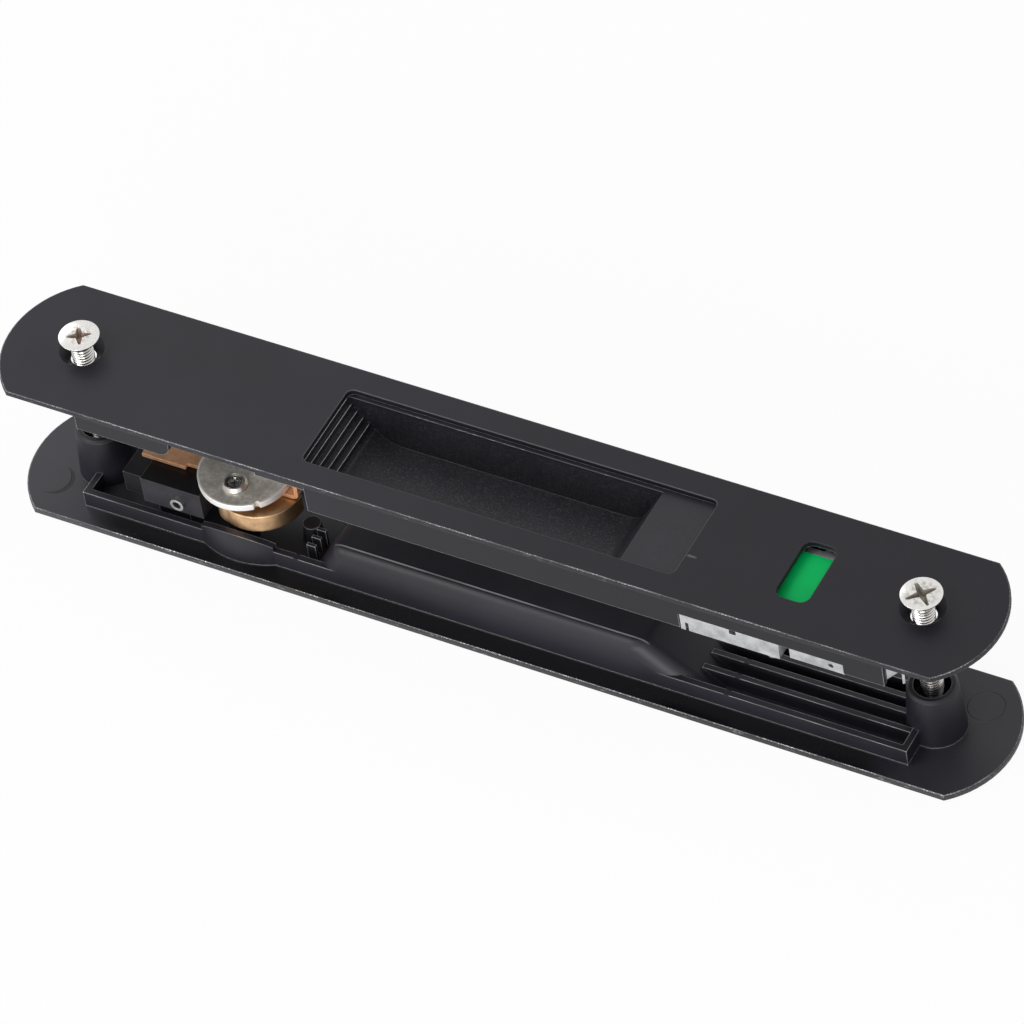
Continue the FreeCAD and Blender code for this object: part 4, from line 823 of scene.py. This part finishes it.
class Form:
    """A mesh under way, shaped by bmesh operators."""

    weld = 1e-7
    turn_weld = 1e-6
    level = 1e-6
    round_gap = 1e-5
    sharp = 35.0

    def __init__(self) -> None:
        """Start an empty mesh."""
        self.mesh = bmesh.new()

    def string(self, profile: Iterable[Pair]) -> tuple[list, list]:
        """Lay an open profile of radii and heights in the XZ plane: its vertices and edges."""
        points = [self.mesh.verts.new((radius, 0.0, height)) for radius, height in profile]
        return points, [self.mesh.edges.new(pair) for pair in zip(points, points[1:])]

    def lathe(self, profile: Iterable[Pair], steps: int = 32) -> list[bmesh.types.BMEdge]:
        """Turn an open profile once round the Z axis.

        Args:
            profile: Radius and height of each point, from the top down.
            steps: Facets round the axis.

        Returns:
            The edges round the open top.
        """
        points, edges = self.string(profile)
        first = points[0].co.copy()
        bmesh.ops.spin(self.mesh, geom=points + edges, cent=(0, 0, 0), axis=(0, 0, 1),
                       dvec=(0, 0, 0), angle=2 * math.pi, steps=steps, use_merge=True,
                       use_duplicate=False)
        bmesh.ops.remove_doubles(self.mesh, verts=self.mesh.verts, dist=self.weld)
        reach = math.hypot(first.x, first.y)
        return [edge for edge in self.mesh.edges if edge.is_boundary and all(
            abs(vert.co.z - first.z) < self.level
            and abs(math.hypot(vert.co.x, vert.co.y) - reach) < self.round_gap
            for vert in edge.verts)]

    def helix(self, profile: Iterable[Pair], pitch: float, turns: float, steps: int) -> None:
        """Turn one thread profile down a helix, so that each turn meets the one before.

        Args:
            profile: Radius and height of each point over one pitch, from the top down.
            pitch: Height of one turn.
            turns: Number of turns.
            steps: Facets in one turn.
        """
        known = set(self.mesh.verts)
        points, edges = self.string(profile)
        count = int(turns * steps)
        bmesh.ops.spin(self.mesh, geom=points + edges, cent=(0, 0, 0), axis=(0, 0, 1),
                       dvec=(0, 0, -pitch / steps), angle=-2 * math.pi * count / steps,
                       steps=count, use_merge=False, use_duplicate=False)
        fresh = [vert for vert in self.mesh.verts if vert not in known]
        bmesh.ops.remove_doubles(self.mesh, verts=fresh, dist=self.turn_weld)

    def flat_cross(self, cross: Cross, height: float) -> list:
        """Lay the five faces of a flat cross.

        Args:
            cross: Sizes of the cross.
            height: Height at which it lies.

        Returns:
            The faces.
        """
        grid = bmesh.ops.create_grid(self.mesh, x_segments=3, y_segments=3, size=1.0)["verts"]
        for vert in grid:
            outer = max(abs(vert.co.x), abs(vert.co.y)) > 0.5
            half = cross.arm / 2 * (cross.tip if outer else 1.0)
            for axis in (0, 1):
                side = math.copysign(1.0, vert.co[axis])
                vert.co[axis] = side * (cross.reach if abs(vert.co[axis]) > 0.5 else half)
            vert.co.z = height
        patch = {face for vert in grid for face in vert.link_faces}
        corners = [face for face in patch
                   if min(abs(c) for c in face.calc_center_median()[:2]) > cross.arm / 4]
        bmesh.ops.delete(self.mesh, geom=corners, context="FACES")
        return [face for face in self.mesh.faces if face in patch]

    def recess(self, rim: list[bmesh.types.BMEdge], cross: Cross) -> None:
        """Close a round top with a flat face that has a cross recess.

        Args:
            rim: Edges round the open top.
            cross: Sizes of the recess.
        """
        patch = self.flat_cross(cross, rim[0].verts[0].co.z)
        verts = list({vert for face in patch for vert in face.verts})
        turned = Matrix.Rotation(math.radians(cross.turn), 3, "Z")
        bmesh.ops.rotate(self.mesh, verts=verts, cent=(0, 0, 0), matrix=turned)
        outline = [edge for face in patch for edge in face.edges if edge.is_boundary]
        bmesh.ops.triangle_fill(self.mesh, use_beauty=True, edges=rim + outline,
                                normal=(0, 0, 1))
        sunk = bmesh.ops.extrude_face_region(self.mesh, geom=patch)["geom"]
        low = [item for item in sunk if isinstance(item, bmesh.types.BMVert)]
        bmesh.ops.delete(self.mesh, geom=patch, context="FACES_ONLY")
        bmesh.ops.translate(self.mesh, verts=low, vec=(0, 0, -cross.depth))
        bmesh.ops.scale(self.mesh, verts=low, vec=(0.5, 0.5, 1.0))

    def place(self, spot: Triple, tilt: Matrix = Matrix.Identity(3)) -> None:
        """Turn the mesh about the origin, then move it to its place."""
        bmesh.ops.rotate(self.mesh, verts=self.mesh.verts, cent=(0, 0, 0), matrix=tilt)
        bmesh.ops.translate(self.mesh, verts=self.mesh.verts, vec=spot)

    def take(self, other: "Form") -> None:
        """Take over the mesh of another form.

        Args:
            other: Form that is used up.
        """
        data = bpy.data.meshes.new("part")
        other.mesh.to_mesh(data)
        other.mesh.free()
        self.mesh.from_mesh(data)
        bpy.data.meshes.remove(data)

    def close(self, name: str, finish: Finish) -> bpy.types.Object:
        """Close the mesh and hang it on an object at the origin.

        Args:
            name: Name of the piece.
            finish: Finish of the piece.

        Returns:
            The object.
        """
        bmesh.ops.recalc_face_normals(self.mesh, faces=self.mesh.faces)
        for face in self.mesh.faces:
            face.smooth = True
        for edge in self.mesh.edges:
            closed = len(edge.link_faces) == 2
            edge.smooth = closed and edge.calc_face_angle() < math.radians(self.sharp)
        data = bpy.data.meshes.new(name)
        self.mesh.to_mesh(data)
        self.mesh.free()
        data.materials.append(finish.material)
        piece = bpy.data.objects.new(name, data)
        bpy.context.scene.collection.objects.link(piece)
        log.info("%s: %d faces", name, len(data.polygons))
        return piece


def dress(finish: Finish, *nodes: str) -> None:
    """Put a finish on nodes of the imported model.

    Args:
        finish: The finish.
        nodes: Names of the nodes.
    """
    for name in nodes:
        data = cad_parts[name].data
        data.materials.clear()
        data.materials.append(finish.material)
        log.info("%s: %s", name, finish.name)


class Metals:
    """Metal finishes that several pieces share."""

    plated = Metal("plated_steel", (0.5, 0.5, 0.5), roughness=0.28, stained=0.15)
    zinc = Metal("bare_zinc", (0.66, 0.67, 0.69), (0.2, 0.2, 0.2), 0.36, stained=0.2, pitted=0.4)
    steel = Metal("stained_steel", (0.9, 0.86, 0.79), (0.4, 0.34, 0.27), 0.38, 0.8, 0.1, 0.42,
                  round_off=0.35 * MM, rim=(-62.9 * MM, -2.6 * MM, 10.7 * MM))
    collar = Metal("collar_steel", (0.7, 0.67, 0.63), (0.2, 0.15, 0.11), 0.24, stained=0.2,
                   speckled=0.3, round_off=0.2 * MM)
    bronze = Metal("bare_bronze", (0.9, 0.59, 0.33), (0.15, 0.075, 0.035), stained=0.2,
                   round_off=0.5 * MM, shaded=((Axis.X, -58, -46),))
    copper = Metal("copper_strip", (0.96, 0.53, 0.3), (0.45, 0.2, 0.1), 0.28, 0.7, 0.1,
                   scratches=Grain(0.25 * MM, 3.0, 0.65, stretch=(6.0, 1.0, 1.0)))
    spring = Metal("spring_steel", (0.62, 0.62, 0.63), roughness=0.2, stained=0.1)


class Facing(Enum):
    """Way that a small head faces, by its turn from upright."""

    UP = 0.0
    DOWN = math.pi


class Top(Enum):
    """Top of a small head: profile in shares of its radius and height, from the middle out."""

    CROSS = ((0.62, 1.0), (0.86, 0.86))
    DOME = ((0.0, 1.0), (0.62, 0.92), (0.86, 0.72))


@dataclass(frozen=True)
class HeadPair:
    """Two small heads in place of one plain node: pan head screws or domed rivets."""

    node: str
    body: str
    facing: Facing = Facing.DOWN
    top: Top = Top.CROSS
    radius: float = 1.8 * MM
    height: float = 1.0 * MM
    side: tuple[Pair, ...] = ((0.97, 0.5), (1.0, 0.3), (1.0, 0.0), (0.0, 0.0))
    steps: int = 28
    reach: float = 0.52
    arm: float = 0.24
    depth: float = 0.55
    turns: Pair = (20.0, 55.0)

    def build(self) -> None:
        """Build both heads in place of the plain node."""
        low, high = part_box(self.node)
        radius, height, rivets = self.radius, self.height, self.top is Top.DOME
        face = high.z if self.facing is Facing.DOWN else low.z
        spots = [(low.x + radius, low.y + radius, face), (high.x - radius, high.y - radius, face)]
        profile = [(radius * out, height * up) for out, up in self.top.value + self.side]
        joined = Form()
        for spot, turn in zip(spots, self.turns):
            head = Form()
            rim = head.lathe(profile, self.steps)
            if not rivets:
                head.recess(rim, Cross(radius * self.reach, radius * self.arm,
                                       height * self.depth, turn))
            head.place(spot, Matrix.Rotation(self.facing.value, 3, "X"))
            joined.take(head)
        piece = joined.close(f"heads_{self.node}", Metals.copper if rivets else Metals.plated)
        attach(piece, self.body)
        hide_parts(self.node)


@dataclass(frozen=True)
class ClampScrew:
    """Countersunk machine screw that draws the covers together."""

    side: str
    cross: Cross
    recess_tint: Colour
    head: float = 4.6 * MM
    edge: float = 0.3 * MM
    head_height: float = 2.4 * MM
    shank: float = 2.5 * MM
    root: float = 2.03 * MM
    pitch: float = 0.8 * MM
    head_steps: int = 48
    thread_steps: int = 24
    thread_start: float = 0.2 * MM
    crest: Pair = (0.38, 0.5)
    runout: float = 0.88
    end_top: float = 0.5 * MM
    end_low: float = 0.3 * MM
    end_radius: float = 1.6 * MM
    end_gap: float = 0.01 * MM

    def thread(self, form: Form, neck: float) -> None:
        """Turn the thread below the neck and close its lower end.

        Args:
            form: Mesh of the screw.
            neck: Height where the cone of the head ends.
        """
        start = neck - self.thread_start
        rise, fall = self.crest
        turns = (neck - 0.4 * MM - self.pitch) / self.pitch
        form.helix([
            (self.root, start), (self.shank, start - self.pitch * rise),
            (self.shank, start - self.pitch * fall), (self.root, start - self.pitch * self.runout),
            (self.root, start - self.pitch),
        ], self.pitch, turns, self.thread_steps)
        closing = self.root + self.end_gap
        form.lathe([(0.0, self.end_top), (closing, self.end_top), (closing, self.end_low),
                    (self.end_radius, 0.0), (0.0, 0.0)], self.thread_steps)

    def build(self) -> None:
        """Build the screw in place of the plain node."""
        node = f"clamp_screw_{self.side}"
        low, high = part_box(node)
        x, y = (low.x + high.x) / 2, (low.y + high.y) / 2
        top = high.z - low.z
        neck = top - self.edge - self.head_height
        form = Form()
        rim = form.lathe([
            (self.head - 0.12 * MM, top), (self.head - 0.03 * MM, top - 0.04 * MM),
            (self.head, top - 0.12 * MM), (self.head, top - self.edge),
            (self.shank, neck + 0.25 * MM), (self.shank, neck),
            (self.root, neck - 0.35 * MM), (self.root, neck - 0.6 * MM),
        ], self.head_steps)
        form.recess(rim, self.cross)
        self.thread(form, neck)
        form.place((x, y, low.z))
        piece = form.close(f"countersunk_screw_{self.side}", NickelScrew(
            f"nickel_{self.side}", (x, y), self.cross.reach, high.z, recess_tint=self.recess_tint))
        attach(piece, f"screw_{self.side}")
        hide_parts(node)


@dataclass(frozen=True)
class PivotScrew:
    """Screw that the hook turns on, with a dark cross recess inside the collar's lip."""

    head: float = 2.05 * MM
    height: float = 1.0 * MM
    shank: float = 1.45 * MM
    cross: Cross = Cross(1.35 * MM, 0.62 * MM, 0.7 * MM, 25.0)
    chamfer: float = 0.3 * MM
    colour: Colour = (0.5, 0.47, 0.43)
    recess_tint: Colour = (0.012, 0.01, 0.009)
    mouth: float = 0.95

    def build(self) -> None:
        """Build the screw in place of the plain node."""
        node = "pivot_screw"
        low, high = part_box(node)
        x, y, top = (low.x + high.x) / 2, (low.y + high.y) / 2, high.z - low.z
        form = Form()
        rim = form.lathe([
            (self.head * 0.86, top), (self.head * 0.96, top - 0.07 * MM),
            (self.head, top - 0.2 * MM), (self.head, top - self.height),
            (self.shank, top - self.height), (self.shank, self.chamfer),
            (self.shank - self.chamfer, 0.0), (0.0, 0.0),
        ])
        form.recess(rim, self.cross)
        form.place((x, y, low.z))
        piece = form.close("hook_pivot_screw", NickelScrew(
            "pivot_nickel", (x, y), self.cross.reach, high.z, self.colour, self.recess_tint, self.mouth))
        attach(piece, "covers")
        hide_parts(node)


@dataclass(frozen=True)
class Covers:
    """Two cover castings and what is fixed to them."""

    heads: tuple[HeadPair, ...] = (
        HeadPair("guide_screws", "covers"), HeadPair("bridge_screws", "covers"),
        HeadPair("block_screws", "covers", Facing.UP))
    pivot: PivotScrew = PivotScrew()

    def build(self) -> None:
        """Dress the covers and build their screws."""
        dress(RearCoat("black_coat_rear"), "rear_housing")
        dress(TrayCoat("black_coat_tray"), "tray_left", "tray_right", "rear_cup")
        dress(FrontCoat("black_coat_front"), "front_housing")
        dress(Moulding("black_moulding"), "guide_block")
        dress(Metals.zinc, "guide_bridge")
        dress(Metals.plated, "guide_plate", "thrust_washer", "block_pin")
        dress(Metals.spring, "stop_spring")
        for part in (*self.heads, self.pivot):
            part.build()


@dataclass(frozen=True)
class Slider:
    """Finger cup with the labels, their carrier and the drive link."""

    green: Colour = (0.0, 0.491020850, 0.116970668)
    red: Colour = (0.552011402, 0.012983032, 0.011612245)
    heads: tuple[HeadPair, ...] = (
        HeadPair("carrier_screws", "slider"), HeadPair("link_rivets", "slider", top=Top.DOME))

    def build(self) -> None:
        """Dress the slider and build its screws and rivets."""
        dress(CupCoat("black_coat_cup"), "slider_cup")
        dress(Enamel("green_enamel", self.green), "green_label")
        dress(Enamel("red_enamel", self.red), "red_label")
        dress(Metals.zinc, "indicator_carrier")
        dress(Metals.copper, "drive_link")
        for pair in self.heads:
            pair.build()


class HookAssembly:
    """Hook with its cap disc, collar and crank pin."""

    def build(self) -> None:
        """Dress the hook and what turns with it."""
        dress(Metals.bronze, "hook")
        dress(Metals.steel, "hook_cap_disc")
        dress(Metals.collar, "pivot_collar")
        dress(Metals.plated, "crank_pin")


@dataclass(frozen=True)
class PaleFloor(Finish):
    """Pale floor that glows white to the camera."""

    colour: Colour = (0.86, 0.86, 0.86)
    roughness: float = 0.5
    glow: float = 0.93

    def build(self) -> None:
        """Fill the graph."""
        graph = self.graph
        plain = graph.node("ShaderNodeBsdfDiffuse", values={
            "Color": self.colour, "Roughness": self.roughness})
        glow = graph.node("ShaderNodeEmission", values={"Color": WHITE, "Strength": 1.0})
        both = graph.node("ShaderNodeMixShader", values={
            0: graph.white_ray() * self.glow, 1: plain.outputs[0], 2: glow.outputs[0]})
        graph.node("ShaderNodeOutputMaterial", values={"Surface": both.outputs[0]})


@dataclass(frozen=True)
class Lamp:
    """Square soft lamp that faces the lock."""

    name: str
    place: Triple
    size: float
    watts: float

    def build(self) -> None:
        """Hang the lamp."""
        light = bpy.data.lights.new(self.name, "AREA")
        light.shape = "SQUARE"
        light.size = self.size
        light.energy = self.watts
        hung = bpy.data.objects.new(self.name, light)
        hung.location = self.place
        hung.rotation_euler = (-Vector(self.place)).to_track_quat("-Z", "Y").to_euler()
        bpy.context.scene.collection.objects.link(hung)


@dataclass(frozen=True)
class Studio:
    """Pale floor, soft lamps and a white surround."""

    floor_size: float = 8.0
    floor_drop: float = 0.2 * MM
    fill: float = 0.55
    lamps: tuple[Lamp, ...] = (
        Lamp("key_lamp", (-0.9, -0.8, 1.4), 0.9, 12.0),
        Lamp("near_lamp", (0.3, -1.4, 0.35), 0.9, 13.0),
        Lamp("left_lamp", (-1.35, 0.85, 1.05), 0.7, 2.2),
    )

    def floor(self) -> None:
        """Lay the floor."""
        mesh = bmesh.new()
        bmesh.ops.create_grid(mesh, x_segments=1, y_segments=1, size=self.floor_size / 2)
        bmesh.ops.translate(mesh, verts=mesh.verts, vec=(0, 0, -self.floor_drop))
        data = bpy.data.meshes.new("floor")
        mesh.to_mesh(data)
        mesh.free()
        data.materials.append(PaleFloor("pale_floor").material)
        piece = bpy.data.objects.new("floor", data)
        bpy.context.scene.collection.objects.link(piece)

    def surround(self) -> None:
        """Give the world a soft fill that looks white to the camera."""
        world = bpy.data.worlds.new("white_surround")
        bpy.context.scene.world = world
        graph = Graph(world)
        strength = graph.white_ray().span(self.fill, 1.0)
        glow = graph.node("ShaderNodeBackground", values={"Color": WHITE, "Strength": strength})
        graph.node("ShaderNodeOutputWorld", values={"Surface": glow.outputs[0]})

    def build(self) -> None:
        """Build the whole studio."""
        self.floor()
        self.surround()
        for lamp in self.lamps:
            lamp.build()
        bpy.context.scene.view_settings.view_transform = "Standard"


@dataclass(frozen=True)
class Viewpoint:
    """Camera at the photograph's place."""

    place: Triple = (0.638814, -0.907549, 1.238538)
    right: Triple = (0.8808118, 0.4582845, -0.1189367)
    up: Triple = (-0.2720913, 0.6955328, 0.6649815)
    back: Triple = (0.3874751, -0.5533619, 0.7373287)
    lens: float = 268.97
    sensor: float = 36.0

    def build(self) -> None:
        """Set up the camera."""
        data = bpy.data.cameras.new("camera")
        data.sensor_width = self.sensor
        data.lens = self.lens
        camera = bpy.data.objects.new("camera", data)
        turn = Matrix((self.right, self.up, self.back)).transposed().to_4x4()
        camera.matrix_world = Matrix.Translation(self.place) @ turn
        bpy.context.scene.collection.objects.link(camera)
        bpy.context.scene.camera = camera


def main() -> None:
    """Build the lock, the studio and the camera."""
    logging.basicConfig(level=logging.INFO, format="%(message)s")
    Covers().build()
    Slider().build()
    HookAssembly().build()
    left = Cross(2.8 * MM, 1.5 * MM, 1.6 * MM, turn=32.0, tip=0.35)
    ClampScrew("left", left, recess_tint=(0.25, 0.15, 0.1)).build()
    ClampScrew("right", replace(left, reach=3.7 * MM, turn=47.0), recess_tint=(0.2, 0.17, 0.12)).build()
    Studio().build()
    Viewpoint().build()


if __name__ == "__main__":
    main()
